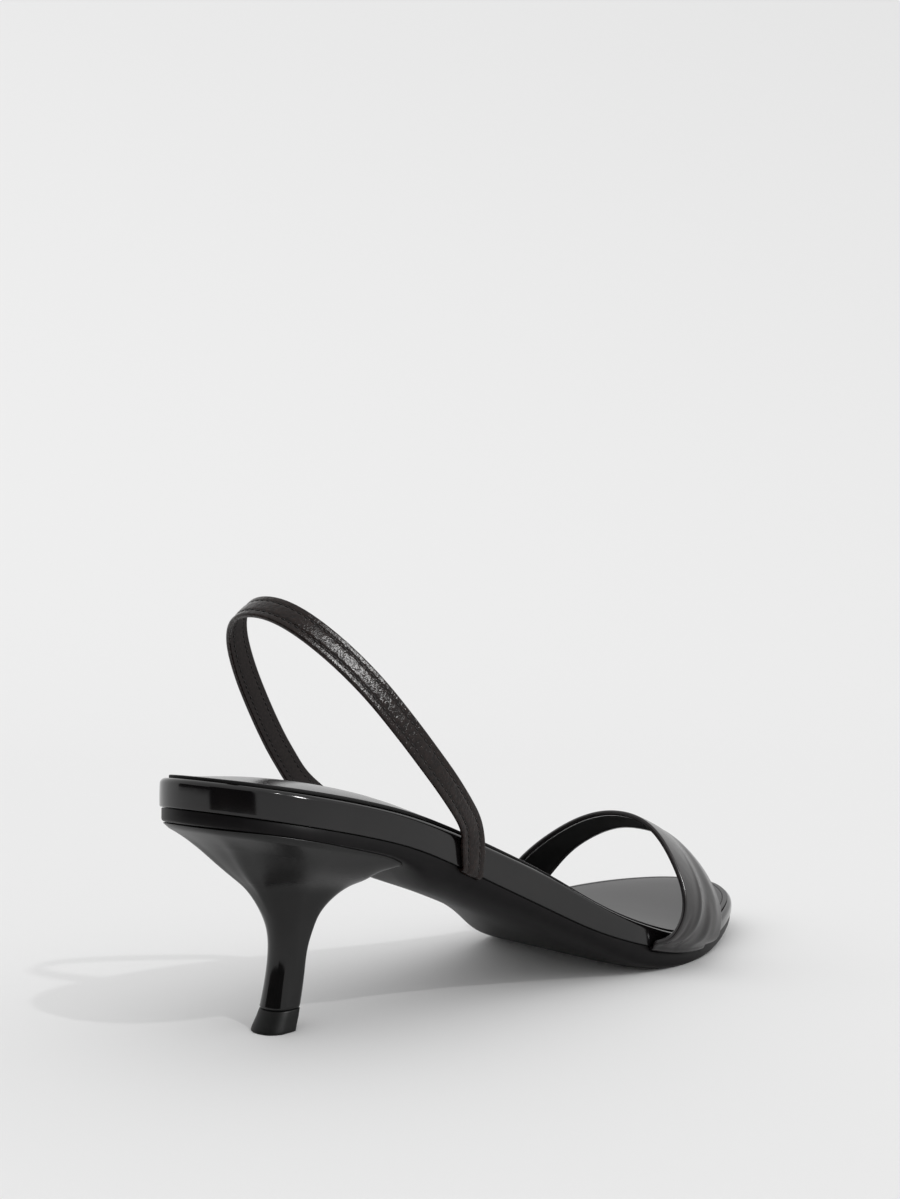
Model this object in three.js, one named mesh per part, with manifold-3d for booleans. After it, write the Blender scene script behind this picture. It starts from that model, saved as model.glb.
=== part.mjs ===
// Slingback sandal for the right foot, on a small flared heel. Millimetres.
// +Z is up, +Y runs from heel to toe, +X is the outer side of the foot.
// The origin lies on the floor under the ball, in the middle of the flat spot the sole rests on.
// Stations are measured forward from the back of the heel and turned into Y by along().
// Seven pieces: insole sock, footbed, outsole, heel, heel tip, toe strap, sling strap.
import * as THREE from "three";
import { mergeVertices } from "three/addons/utils/BufferGeometryUtils.js";
import Module from "manifold-3d";

const wasm = await Module();
wasm.setup();

// Main sizes of the sole.
const LENGTH = 238; // footbed from heel back to toe tip, along the floor
const BALL_STATION = 0.665 * LENGTH; // middle of the flat spot under the ball
const BALL_WIDTH = 76; // footbed across the ball
const SEAT_RISE = 52.9; // seam under the footbed, heel back above ball
const TOE_SPRING = 4.8; // seam at the toe tip above the seam at the ball
const INNER_ARCH = 6.5; // inner edge above outer edge at the waist

// Layers of the sole.
const BED_THICKNESS = 7.4; // edge of the footbed at the heel
const BED_CROWN = 2.4; // padding under the middle of the foot
const BED_ROUND = 1.3; // rolled top edge of the footbed
const SOCK_THICKNESS = 0.9;
const SOCK_INSET = 2.2; // from the footbed's edge to the sock's edge
const SEAT_EDGE = 3.7; // outsole under the heel seat
const FORE_SOLE = 4.5; // outsole under the ball
const SHANK_DEPTH = 5; // how far the shank bulges below its edge
const OUTSOLE_INSET = 0.5; // outsole edge inside the footbed's edge
const GAP = 0.3; // clearance between neighbouring pieces

// Heel.
const HEEL_INSET = 1; // top of the heel inside the footbed's edge
const HEEL_LIP = 30; // slope of the seat's thin front lip, as its drop over the whole heel
const BREAST_STATION = 52; // front face of the heel
const STEM_WIDTH = 9.1; // thinnest place
const TIP_HEIGHT = 5.3;
const TIP_WIDTH = 10.9;
const TIP_LENGTH = 9.3;
const TIP_STATION = 29.4; // middle of the tip on the floor

// Straps.
const STRAP_LEATHER = 1.4;
const TAB_LEATHER = 0.9; // strap ends are thinned where they pass under the footbed
const TAB_DEPTH = 4.5; // how far the ends reach in under the footbed
const TOE_STRAP_BACK = 143.4; // rear edge at the outer side
const TOE_STRAP_WIDTH = 26.8; // along the outer edge of the sole
const TOE_STRAP_RISE = 45.2; // top of the arch above the floor
const TOE_STRAP_SLANT = 18; // inner foot lies this far ahead of the outer foot
const SLING_WIDTH = 6.7;
const SLING_FOOT = 73.6; // where the sling goes under the footbed
const SLING_SPREAD = 30; // widest half breadth of the loop
const SLING_RISE = 43.6; // top of the loop above the footbed at the heel
const SLING_BACK = 22; // rearmost station of the loop's middle line

const along = (station) => station - BALL_STATION;

// Smooth curve through a column of a table, read at any share of the length.
function column(table, name) {
  const xs = table.map((row) => row.at);
  const ys = table.map((row) => row[name]);
  const n = xs.length;
  const slope = xs.map((x, i) => {
    if (i === 0) return (ys[1] - ys[0]) / (xs[1] - xs[0]);
    if (i === n - 1) return (ys[n - 1] - ys[n - 2]) / (xs[n - 1] - xs[n - 2]);
    const left = (ys[i] - ys[i - 1]) / (x - xs[i - 1]);
    const right = (ys[i + 1] - ys[i]) / (xs[i + 1] - x);
    const span = xs[i + 1] - xs[i - 1];
    return (left * (xs[i + 1] - x) + right * (x - xs[i - 1])) / span;
  });
  return (at) => {
    const x = Math.min(Math.max(at, xs[0]), xs[n - 1]);
    let i = 0;
    while (i < n - 2 && x > xs[i + 1]) i += 1;
    const h = xs[i + 1] - xs[i];
    const t = (x - xs[i]) / h;
    const a = ys[i];
    const b = ys[i + 1];
    const t2 = t * t;
    const t3 = t2 * t;
    return (2 * t3 - 3 * t2 + 1) * a + (t3 - 2 * t2 + t) * h * slope[i]
      + (3 * t2 - 2 * t3) * b + (t3 - t2) * h * slope[i + 1];
  };
}

// Outline of the footbed seen from above.
// at: share of the length. half: half width, share of the ball width.
// shift: middle line towards the outer side, share of the ball width.
const OUTLINE = [
  { at: 0.115, half: 0.324, shift: 0.0 },
  { at: 0.2, half: 0.342, shift: 0.004 },
  { at: 0.3, half: 0.336, shift: 0.021 },
  { at: 0.4, half: 0.348, shift: 0.037 },
  { at: 0.5, half: 0.394, shift: 0.038 },
  { at: 0.6, half: 0.466, shift: 0.022 },
  { at: 0.68, half: 0.5, shift: 0.0 },
  { at: 0.76, half: 0.498, shift: -0.033 },
  { at: 0.84, half: 0.46, shift: -0.074 },
  { at: 0.91, half: 0.36, shift: -0.071 },
  { at: 0.96, half: 0.247, shift: -0.077 },
  { at: 1.0, half: 0.06, shift: -0.084 },
];
const HEEL_ROUND = 0.115; // share of the length taken by the round heel end
const TOE_ROUND = 0.04; // share of the length taken by the round toe end
const halfColumn = column(OUTLINE, "half");
const shiftColumn = column(OUTLINE, "shift");

const middle = (station) => BALL_WIDTH * shiftColumn(station / LENGTH);

// Half width of the outline drawn in by an inset; zero at both ends.
function halfWidth(station, inset = 0) {
  const heelEnd = HEEL_ROUND * LENGTH;
  const toeStart = (1 - TOE_ROUND) * LENGTH;
  if (station < heelEnd) {
    const t = Math.min((heelEnd - station) / (heelEnd - inset), 1);
    return (BALL_WIDTH * halfColumn(HEEL_ROUND) - inset) * Math.sqrt(1 - t * t);
  }
  if (station > toeStart) {
    const reach = TOE_ROUND * LENGTH - inset;
    const t = Math.min((station - toeStart) / reach, 1);
    const start = BALL_WIDTH * halfColumn(1 - TOE_ROUND) - inset;
    const slope = (BALL_WIDTH / LENGTH) * (halfColumn(1 - TOE_ROUND) - halfColumn(0.99 - TOE_ROUND)) / 0.01;
    return Math.max(start + slope * reach * t * (1 - t), 0) * Math.sqrt(1 - t * t);
  }
  return BALL_WIDTH * halfColumn(station / LENGTH) - inset;
}

// Heights along the sole.
// rise: share of SEAT_RISE, spring: share of TOE_SPRING, for the seam under the footbed.
// bed: footbed edge, share of BED_THICKNESS. crown: share of BED_CROWN. arch: share of INNER_ARCH.
const HEIGHTS = [
  { at: 0, rise: 1, spring: 0, bed: 0.94, crown: 0, arch: 0 },
  { at: 0.05, rise: 0.957, spring: 0, bed: 0.97, crown: 0.4, arch: 0 },
  { at: 0.1, rise: 0.909, spring: 0, bed: 1, crown: 0.85, arch: 0.06 },
  { at: 0.15, rise: 0.86, spring: 0, bed: 1.02, crown: 0.96, arch: 0.22 },
  { at: 0.19, rise: 0.815, spring: 0, bed: 1.03, crown: 0.92, arch: 0.42 },
  { at: 0.215, rise: 0.785, spring: 0, bed: 1.04, crown: 0.88, arch: 0.53 },
  { at: 0.25, rise: 0.73, spring: 0, bed: 1.07, crown: 0.75, arch: 0.7 },
  { at: 0.3, rise: 0.637, spring: 0, bed: 1.15, crown: 0.58, arch: 0.88 },
  { at: 0.35, rise: 0.537, spring: 0, bed: 1.21, crown: 0.5, arch: 1 },
  { at: 0.4, rise: 0.435, spring: 0, bed: 1.25, crown: 0.45, arch: 1 },
  { at: 0.45, rise: 0.331, spring: 0, bed: 1.24, crown: 0.43, arch: 1 },
  { at: 0.5, rise: 0.227, spring: 0, bed: 1.12, crown: 0.42, arch: 0.9 },
  { at: 0.55, rise: 0.142, spring: 0, bed: 0.93, crown: 0.41, arch: 0.65 },
  { at: 0.6, rise: 0.074, spring: 0, bed: 0.8, crown: 0.4, arch: 0.35 },
  { at: 0.65, rise: 0.025, spring: 0, bed: 0.66, crown: 0.4, arch: 0.12 },
  { at: 0.7, rise: 0.002, spring: 0, bed: 0.54, crown: 0.38, arch: 0 },
  { at: 0.75, rise: 0, spring: 0.03, bed: 0.5, crown: 0.36, arch: 0 },
  { at: 0.8, rise: 0, spring: 0.2, bed: 0.48, crown: 0.33, arch: 0 },
  { at: 0.85, rise: 0, spring: 0.45, bed: 0.47, crown: 0.3, arch: 0 },
  { at: 0.9, rise: 0, spring: 0.7, bed: 0.46, crown: 0.26, arch: 0 },
  { at: 0.95, rise: 0, spring: 0.89, bed: 0.46, crown: 0.18, arch: 0 },
  { at: 1, rise: 0, spring: 1, bed: 0.46, crown: 0, arch: 0 },
];

// Depth of the outsole below the seam.
// seat, fore, shank: shares of SEAT_EDGE, FORE_SOLE and SHANK_DEPTH, added up.
// square: how square the underside is across (2 is an ellipse).
const UNDERSIDE = [
  { at: 0, seat: 1, fore: 0, shank: 0, square: 14 },
  { at: 0.15, seat: 1, fore: 0, shank: 0, square: 14 },
  { at: 0.19, seat: 1, fore: 0, shank: 0, square: 12 },
  { at: 0.22, seat: 1, fore: 0, shank: 0.1, square: 8 },
  { at: 0.255, seat: 1, fore: 0, shank: 1.1, square: 3.4 },
  { at: 0.3, seat: 1, fore: 0, shank: 1.26, square: 2.6 },
  { at: 0.35, seat: 0.9, fore: 0.1, shank: 1.14, square: 2.5 },
  { at: 0.4, seat: 0.75, fore: 0.25, shank: 0.98, square: 2.5 },
  { at: 0.45, seat: 0.5, fore: 0.5, shank: 0.86, square: 2.6 },
  { at: 0.5, seat: 0.25, fore: 0.75, shank: 0.78, square: 2.8 },
  { at: 0.55, seat: 0.1, fore: 0.95, shank: 0.72, square: 3.2 },
  { at: 0.6, seat: 0, fore: 1.1, shank: 0.56, square: 4.5 },
  { at: 0.65, seat: 0, fore: 1.15, shank: 0.24, square: 7 },
  { at: 0.7, seat: 0, fore: 1.15, shank: 0, square: 8 },
  { at: 0.75, seat: 0, fore: 1.04, shank: 0, square: 8 },
  { at: 0.8, seat: 0, fore: 0.9, shank: 0, square: 8 },
  { at: 0.85, seat: 0, fore: 0.76, shank: 0, square: 8 },
  { at: 0.9, seat: 0, fore: 0.66, shank: 0, square: 8 },
  { at: 0.95, seat: 0, fore: 0.58, shank: 0, square: 8 },
  { at: 1, seat: 0, fore: 0.54, shank: 0, square: 8 },
];
const shape = {};
for (const name of ["rise", "spring", "bed", "crown", "arch"]) shape[name] = column(HEIGHTS, name);
for (const name of ["seat", "fore", "shank", "square"]) shape[name] = column(UNDERSIDE, name);

// Place across the foot: -1 at the inner edge, +1 at the outer edge.
function across(station, x) {
  const half = Math.max(halfWidth(station), 0.01);
  return Math.min(Math.max((x - middle(station)) / half, -1), 1);
}

// Seam between footbed and outsole.
function seamHeight(station, x) {
  const at = station / LENGTH;
  const lift = INNER_ARCH * shape.arch(at) * (1 - across(station, x)) / 2;
  return FORE_SOLE + SEAT_RISE * shape.rise(at) + TOE_SPRING * shape.spring(at) + lift;
}

// Top of the footbed.
function bedHeight(station, x) {
  const at = station / LENGTH;
  const q = Math.abs(across(station, x));
  const pad = BED_CROWN * shape.crown(at) * (1 - q ** 2.6);
  return seamHeight(station, x) + BED_THICKNESS * shape.bed(at) + pad;
}

// Underside of the outsole for a place given by share q of its own half width.
function soleHeight(station, q, half) {
  const at = station / LENGTH;
  const n = shape.square(at);
  const depth = SEAT_EDGE * shape.seat(at) + FORE_SOLE * shape.fore(at) + SHANK_DEPTH * shape.shank(at);
  const x = middle(station) + q * half;
  const bow = (1 - Math.abs(q) ** n) ** (1 / n);
  return Math.max(seamHeight(station, x) - GAP - (depth - GAP) * bow, 0);
}

function makeSolid(positions, triangles) {
  let geometry = new THREE.BufferGeometry();
  geometry.setAttribute("position", new THREE.Float32BufferAttribute(positions, 3));
  geometry.setIndex(triangles);
  geometry = mergeVertices(geometry, 1e-4);
  const index = Array.from(geometry.index.array);
  const kept = [];
  for (let i = 0; i < index.length; i += 3) {
    const [a, b, c] = [index[i], index[i + 1], index[i + 2]];
    if (a !== b && b !== c && a !== c) kept.push(a, b, c);
  }
  geometry.setIndex(kept);
  return toManifold(geometry);
}

function toManifold(geometry) {
  return new wasm.Manifold(new wasm.Mesh({
    numProp: 3,
    vertProperties: new Float32Array(geometry.attributes.position.array),
    triVerts: new Uint32Array(geometry.index.array),
  }));
}

function toGeometry(solid) {
  const mesh = solid.getMesh();
  const geometry = new THREE.BufferGeometry();
  geometry.setAttribute("position", new THREE.BufferAttribute(new Float32Array(mesh.vertProperties), 3));
  geometry.setIndex(new THREE.BufferAttribute(new Uint32Array(mesh.triVerts), 1));
  geometry.computeVertexNormals();
  return geometry;
}

// Skin over a row of closed rings with the same even number of points.
// The points of each ring run anticlockwise seen from the last ring looking back at the first.
// Rings that shrink to a line at both ends close themselves and need no caps.
function skin(rings, capped = true) {
  const count = rings[0].length;
  const last = (rings.length - 1) * count;
  const triangles = [];
  for (let i = 0; i + 1 < rings.length; i += 1) {
    for (let j = 0; j < count; j += 1) {
      const k = (j + 1) % count;
      const a = i * count + j;
      const b = i * count + k;
      const c = (i + 1) * count + k;
      const d = (i + 1) * count + j;
      triangles.push(a, b, c, a, c, d);
    }
  }
  for (let j = 0; capped && j + 1 < count / 2; j += 1) {
    const [a, b, c, d] = [j, j + 1, count - 2 - j, count - 1 - j];
    triangles.push(a, c, b, a, d, c);
    triangles.push(last + a, last + b, last + c, last + a, last + c, last + d);
  }
  return makeSolid(rings.flat(2), triangles);
}

// Stations crowded towards both round ends; RUN of them in between.
const RUN = 28;
function stations(inset, count) {
  const heelEnd = HEEL_ROUND * LENGTH;
  const toeStart = (1 - TOE_ROUND) * LENGTH;
  const list = [];
  const heelSteps = 9;
  for (let i = 0; i < heelSteps; i += 1) {
    list.push(heelEnd - (heelEnd - inset) * Math.cos((Math.PI / 2) * (i / heelSteps)));
  }
  for (let i = 0; i <= count; i += 1) list.push(heelEnd + (toeStart - heelEnd) * (i / count));
  const toeSteps = 7;
  for (let i = 1; i <= toeSteps; i += 1) {
    list.push(toeStart + (LENGTH - inset - toeStart) * Math.sin((Math.PI / 2) * (i / toeSteps)));
  }
  return list;
}

// Insole sock: thin leather lying on the padded footbed.
function insoleSock() {
  const cuts = [-1, -0.85, -0.6, -0.3, 0, 0.3, 0.6, 0.85, 1];
  const rings = stations(SOCK_INSET, RUN).map((station) => {
    const half = halfWidth(station, SOCK_INSET);
    const points = cuts.map((q) => middle(station) + q * half);
    const under = points.map((x) => [x, along(station), bedHeight(station, x) + GAP]);
    const upper = points.map((x) => [x, along(station), bedHeight(station, x) + GAP + SOCK_THICKNESS]);
    return [...under, ...upper.reverse()].reverse();
  });
  return skin(rings, false);
}

// Footbed: wrapped insole board with a tall smooth edge and a rolled rim.
function footbed() {
  const cuts = [-1, -0.85, -0.6, -0.3, 0, 0.3, 0.6, 0.85, 1];
  const rings = stations(0, RUN).map((station) => {
    const half = halfWidth(station);
    const roll = Math.min(BED_ROUND, half);
    const at = station / LENGTH;
    const tall = BED_THICKNESS * shape.bed(at);
    const ring = [];
    const rim = (side, inward, drop) => {
      const x = middle(station) + side * (half - inward);
      const base = seamHeight(station, middle(station) + side * half);
      ring.push([x, along(station), base + tall - drop]);
    };
    const foot = (side, inward, lift) => {
      const x = middle(station) + side * (half - inward);
      ring.push([x, along(station), seamHeight(station, middle(station) + side * half) + lift]);
    };
    const top = (q) => {
      const x = middle(station) + q * (half - roll);
      ring.push([x, along(station), bedHeight(station, x)]);
    };
    const floor = (q) => {
      const x = middle(station) + q * (half - roll * 0.5);
      ring.push([x, along(station), seamHeight(station, x)]);
    };
    cuts.forEach((q) => top(-q));
    rim(-1, roll * 0.35, BED_ROUND * 0.12);
    rim(-1, roll * 0.08, BED_ROUND * 0.45);
    rim(-1, 0, BED_ROUND);
    foot(-1, 0, 0.5);
    [-1, -0.5, 0, 0.5, 1].forEach(floor);
    foot(1, 0, 0.5);
    rim(1, 0, BED_ROUND);
    rim(1, roll * 0.08, BED_ROUND * 0.45);
    rim(1, roll * 0.35, BED_ROUND * 0.12);
    return ring.reverse();
  });
  return skin(rings, false);
}

// Outsole: thin under the heel seat, a rounded shank, flat under the ball, lifted at the toe.
function outsole() {
  const steps = 16;
  const rings = stations(OUTSOLE_INSET, RUN).map((station) => {
    const half = halfWidth(station, OUTSOLE_INSET);
    const ring = [];
    for (let i = 0; i <= steps; i += 1) {
      const angle = Math.PI * (i / steps);
      const q = -Math.cos(angle);
      ring.push([middle(station) + q * half, along(station), soleHeight(station, q, half)]);
    }
    [1, 0.5, 0, -0.5, -1].forEach((q) => {
      const x = middle(station) + q * half;
      ring.push([x, along(station), seamHeight(station, x) - GAP]);
    });
    return ring.reverse();
  });
  return skin(rings, false);
}

// Heel sections from the seat down to the tip, each in a plane leaning with the seat.
// back, front: stations at the rear and the front, shares of BREAST_STATION.
// backUp, frontUp: heights at the rear and the front, shares of the heel's own height.
// flare: share of the way from stem width to seat width. stem: share of the stem width.
// square: how square the front is across (2 is an ellipse).
const HEEL_SECTIONS = [
  { at: 0.0, back: 0.038, backUp: 0.985, front: 1.025, frontUp: 0.8, flare: 1.0, stem: 1.0, square: 16 },
  { at: 0.1, back: 0.16, backUp: 0.905, front: 1.0, frontUp: 0.732, flare: 0.8, stem: 1.0, square: 7 },
  { at: 0.2, back: 0.255, backUp: 0.825, front: 0.995, frontUp: 0.68, flare: 0.6, stem: 1.0, square: 5 },
  { at: 0.32, back: 0.37, backUp: 0.725, front: 0.97, frontUp: 0.635, flare: 0.29, stem: 1.0, square: 4 },
  { at: 0.42, back: 0.45, backUp: 0.655, front: 0.885, frontUp: 0.585, flare: 0.145, stem: 1.0, square: 4 },
  { at: 0.51, back: 0.518, backUp: 0.56, front: 0.815, frontUp: 0.52, flare: 0.065, stem: 1.0, square: 4 },
  { at: 0.6, back: 0.556, backUp: 0.47, front: 0.775, frontUp: 0.453, flare: 0.03, stem: 1.0, square: 4 },
  { at: 0.7, back: 0.57, backUp: 0.372, front: 0.741, frontUp: 0.372, flare: 0.01, stem: 1.0, square: 4 },
  { at: 0.82, back: 0.557, backUp: 0.26, front: 0.724, frontUp: 0.26, flare: 0, stem: 1.0, square: 4 },
  { at: 1.0, back: 0.524, backUp: 0.104, front: 0.69, frontUp: 0.104, flare: 0, stem: 1.08, square: 4 },
];
const heelShape = {};
for (const name of ["back", "backUp", "front", "frontUp", "flare", "stem", "square"]) {
  heelShape[name] = column(HEEL_SECTIONS, name);
}

// Closed ring, rounded at the back and squarer at the front, started at the outer side.
// Its points are spread half by angle and half by length, so straight runs and corners both keep enough.
const HEEL_BACK_ROUND = 2.15;
function heelRing(back, front, half, square, count) {
  const centre = (back + front) / 2;
  const reach = (front - back) / 2;
  const spot = (angle) => {
    const c = Math.cos(angle);
    const s = Math.sin(angle);
    const power = 2 / (s > 0 ? square : HEEL_BACK_ROUND);
    return [half * Math.sign(c) * Math.abs(c) ** power, centre + reach * Math.sign(s) * Math.abs(s) ** power];
  };
  const ring = [];
  for (const start of [0, Math.PI]) {
    const fine = 240;
    const spots = Array.from({ length: fine + 1 }, (_, i) => spot(start + Math.PI * (i / fine)));
    const run = [0];
    for (let i = 1; i <= fine; i += 1) {
      run.push(run[i - 1] + Math.hypot(spots[i][0] - spots[i - 1][0], spots[i][1] - spots[i - 1][1]));
    }
    const share = run.map((value, i) => (value / run[fine] + i / fine) / 2);
    let i = 0;
    for (let j = 0; j < count / 2; j += 1) {
      const want = j / (count / 2);
      while (share[i + 1] < want) i += 1;
      const t = (want - share[i]) / (share[i + 1] - share[i]);
      ring.push(spots[i].map((value, k) => value + (spots[i + 1][k] - value) * t));
    }
  }
  return ring;
}

// Height just clear of the outsole's underside, on the facets between its stations.
function underSole(x, station) {
  const list = stations(OUTSOLE_INSET, RUN);
  let i = 0;
  while (i < list.length - 2 && station > list[i + 1]) i += 1;
  const t = (station - list[i]) / (list[i + 1] - list[i]);
  const mix = (read) => read(list[i]) * (1 - t) + read(list[i + 1]) * t;
  const half = mix((place) => halfWidth(place, OUTSOLE_INSET));
  const q = Math.min(Math.max((x - mix(middle)) / half, -1), 1);
  return mix((place) => soleHeight(place, q, halfWidth(place, OUTSOLE_INSET))) - GAP;
}

// Heel: its top follows the outsole, its sides sweep in to a slim stem.
function heel() {
  const count = 56;
  const heelRise = SEAT_RISE + FORE_SOLE - SEAT_EDGE;
  const seatHalf = BALL_WIDTH * halfColumn(HEEL_ROUND) - HEEL_INSET;
  const ringAt = (t) => {
    const stemHalf = (STEM_WIDTH / 2) * heelShape.stem(t);
    const half = stemHalf + (seatHalf - stemHalf) * heelShape.flare(t);
    const back = BREAST_STATION * heelShape.back(t);
    const front = BREAST_STATION * heelShape.front(t);
    const backUp = heelRise * heelShape.backUp(t);
    const frontUp = heelRise * heelShape.frontUp(t);
    const stand = TIP_HEIGHT + GAP;
    return heelRing(back, front, half, heelShape.square(t), count).map(([x, station]) => {
      const px = x + middle(station) * (1 - t);
      const plane = backUp + (frontUp - backUp) * (station - back) / (front - back);
      const up = t < 0.2 ? Math.min(plane, underSole(px, station) - HEEL_LIP * t) : plane;
      return [px, along(station), t === 1 ? stand : up];
    });
  };
  const seat = (scale) => {
    const centre = BREAST_STATION / 2;
    return ringAt(0).map(([x, y]) => {
      const station = centre + (y + BALL_STATION - centre) * scale;
      return [x * scale, along(station), underSole(x * scale, station)];
    });
  };
  const rings = [0.02, 0.3, 0.55, 0.8, 1].map(seat);
  const steps = 26;
  for (let i = 1; i <= steps; i += 1) rings.push(ringAt(i / steps));
  return skin(rings.reverse());
}

// Heel tip: round at the back, flat in front, spreading a little towards the floor.
function heelTip() {
  const narrow = 0.92;
  const top = heelRing(
    BREAST_STATION * heelShape.back(1), BREAST_STATION * heelShape.front(1),
    (STEM_WIDTH / 2) * heelShape.stem(1), 4, 44,
  ).map(([x, station]) => [x, along(station), TIP_HEIGHT]);
  const plan = (grow, up) => heelRing(
    TIP_STATION - (TIP_LENGTH / 2) * grow, TIP_STATION + (TIP_LENGTH / 2) * grow,
    (TIP_WIDTH / 2) * grow, 5, 44,
  ).map(([x, station]) => [x, along(station), up]);
  return skin([plan(narrow + 0.03, 0), plan(1, 0.4), plan(0.985, 1.2), top]);
}

// Leather ribbon from a grid of points on its middle surface.
function ribbon(grid, thickness) {
  const v = grid.map((row) => row.map((p) => new THREE.Vector3(...p)));
  const last = v.length - 1;
  const end = v[0].length - 1;
  const rings = v.map((row, i) => {
    const outer = [];
    const inner = [];
    row.forEach((p, j) => {
      const du = v[Math.min(i + 1, last)][j].clone().sub(v[Math.max(i - 1, 0)][j]);
      const dv = row[Math.min(j + 1, end)].clone().sub(row[Math.max(j - 1, 0)]);
      const normal = du.cross(dv).normalize().multiplyScalar(thickness[i] / 2);
      outer.push(p.clone().add(normal).toArray());
      inner.push(p.clone().sub(normal).toArray());
    });
    return [...inner, ...outer.reverse()];
  });
  return skin(rings);
}

// The way a strap end comes round the footbed's lower corner.
// out: from the footbed's edge outwards, up: above the seam, both in millimetres of leather and gap.
const FACE = GAP + STRAP_LEATHER / 2;
const TUCK = GAP + TAB_LEATHER / 2;
const STRAP_END = [
  { out: -TAB_DEPTH, up: -TUCK, thick: TAB_LEATHER },
  { out: -TAB_DEPTH * 0.4, up: -TUCK, thick: TAB_LEATHER },
  { out: -0.1 * FACE, up: -TUCK, thick: TAB_LEATHER },
  { out: 0.5 * FACE, up: -0.86 * TUCK, thick: TAB_LEATHER },
  { out: 0.86 * FACE, up: -0.4 * TUCK, thick: TAB_LEATHER + 0.3 },
  { out: FACE, up: 0.35, thick: STRAP_LEATHER - 0.2 },
  { out: FACE, up: 1.3, thick: STRAP_LEATHER },
];

// A point beside the footbed's edge; side +1 is the outer side.
function beside(side, station, out, up) {
  const x = middle(station) + side * (halfWidth(station) + out);
  return [x, along(station), seamHeight(station, x) + up];
}

// Smooth run of points through key points, the same number of steps in each span.
function smoothRun(keys, steps) {
  const curve = new THREE.CatmullRomCurve3(keys.map((p) => new THREE.Vector3(...p)), false, "centripetal");
  const spans = keys.length - 1;
  const points = [];
  for (let i = 0; i <= spans * steps; i += 1) points.push(curve.getPoint(i / (spans * steps)).toArray());
  return points;
}

function smoothValues(values, steps) {
  const list = [];
  for (let i = 0; i + 1 < values.length; i += 1) {
    for (let k = 0; k < steps; k += 1) list.push(values[i] + (values[i + 1] - values[i]) * (k / steps));
  }
  list.push(values[values.length - 1]);
  return list;
}

// Toe strap, from the outer to the inner side of the sole.
// Each row gives the rear and the front edge: across as share of half the ball width,
// up as share of TOE_STRAP_RISE, ahead as share of TOE_STRAP_SLANT.
const TOE_STRAP = [
  { rear: [1.076, 0.226, 0.11], front: [1.079, 0.146, 0.08] },
  { rear: [1.145, 0.279, 0.23], front: [1.118, 0.206, 0.14] },
  { rear: [1.187, 0.365, 0.29], front: [1.116, 0.283, 0.19] },
  { rear: [1.189, 0.46, 0.34], front: [1.079, 0.376, 0.26] },
  { rear: [1.158, 0.56, 0.39], front: [1.008, 0.473, 0.32] },
  { rear: [1.079, 0.673, 0.45], front: [0.903, 0.575, 0.39] },
  { rear: [0.971, 0.794, 0.52], front: [0.771, 0.673, 0.45] },
  { rear: [0.837, 0.907, 0.57], front: [0.613, 0.757, 0.52] },
  { rear: [0.668, 0.98, 0.61], front: [0.439, 0.81, 0.59] },
  { rear: [0.447, 1.002, 0.66], front: [0.25, 0.834, 0.63] },
  { rear: [0.221, 0.98, 0.71], front: [0.042, 0.836, 0.67] },
  { rear: [-0.016, 0.916, 0.76], front: [-0.168, 0.799, 0.71] },
  { rear: [-0.247, 0.823, 0.82], front: [-0.387, 0.721, 0.76] },
  { rear: [-0.479, 0.708, 0.87], front: [-0.595, 0.622, 0.82] },
  { rear: [-0.7, 0.573, 0.93], front: [-0.787, 0.493, 0.88] },
  { rear: [-0.9, 0.425, 0.97], front: [-0.979, 0.338, 0.94] },
  { rear: [-1.034, 0.288, 0.99], front: [-1.111, 0.221, 0.97] },
];

const STRAP_BOW = 0.7; // middle of the leather stands out between its two edges

function toeStrap() {
  const outerFront = TOE_STRAP_BACK + TOE_STRAP_WIDTH;
  const end = (side, shift) => STRAP_END.map((p) => ({
    thick: p.thick,
    across: (t) => beside(side, TOE_STRAP_BACK + shift + TOE_STRAP_WIDTH * t, p.out, p.up),
  }));
  const place = ([x, z, ahead], base) => [
    x * BALL_WIDTH / 2, along(base + ahead * TOE_STRAP_SLANT), z * TOE_STRAP_RISE,
  ];
  const free = TOE_STRAP.map((row) => ({
    thick: STRAP_LEATHER,
    across: (t) => {
      const a = place(row.rear, TOE_STRAP_BACK);
      const b = place(row.front, outerFront);
      const bow = STRAP_BOW * 4 * t * (1 - t);
      const point = a.map((value, k) => value + (b[k] - value) * t);
      return [point[0] * (1 + 2 * bow / BALL_WIDTH), point[1], point[2] + bow * 0.4];
    },
  }));
  return strapBody([...end(1, 0), ...free, ...end(-1, TOE_STRAP_SLANT).reverse()], 5);
}

// Strap from rows, each with its thickness and its points across the leather.
function strapBody(rows, columns) {
  const steps = 2;
  const runs = [];
  for (let j = 0; j <= columns; j += 1) {
    runs.push(smoothRun(rows.map((row) => row.across(j / columns)), steps));
  }
  const thickness = smoothValues(rows.map((row) => row.thick), steps);
  return ribbon(thickness.map((_, i) => runs.map((run) => run[i])), thickness);
}

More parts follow.
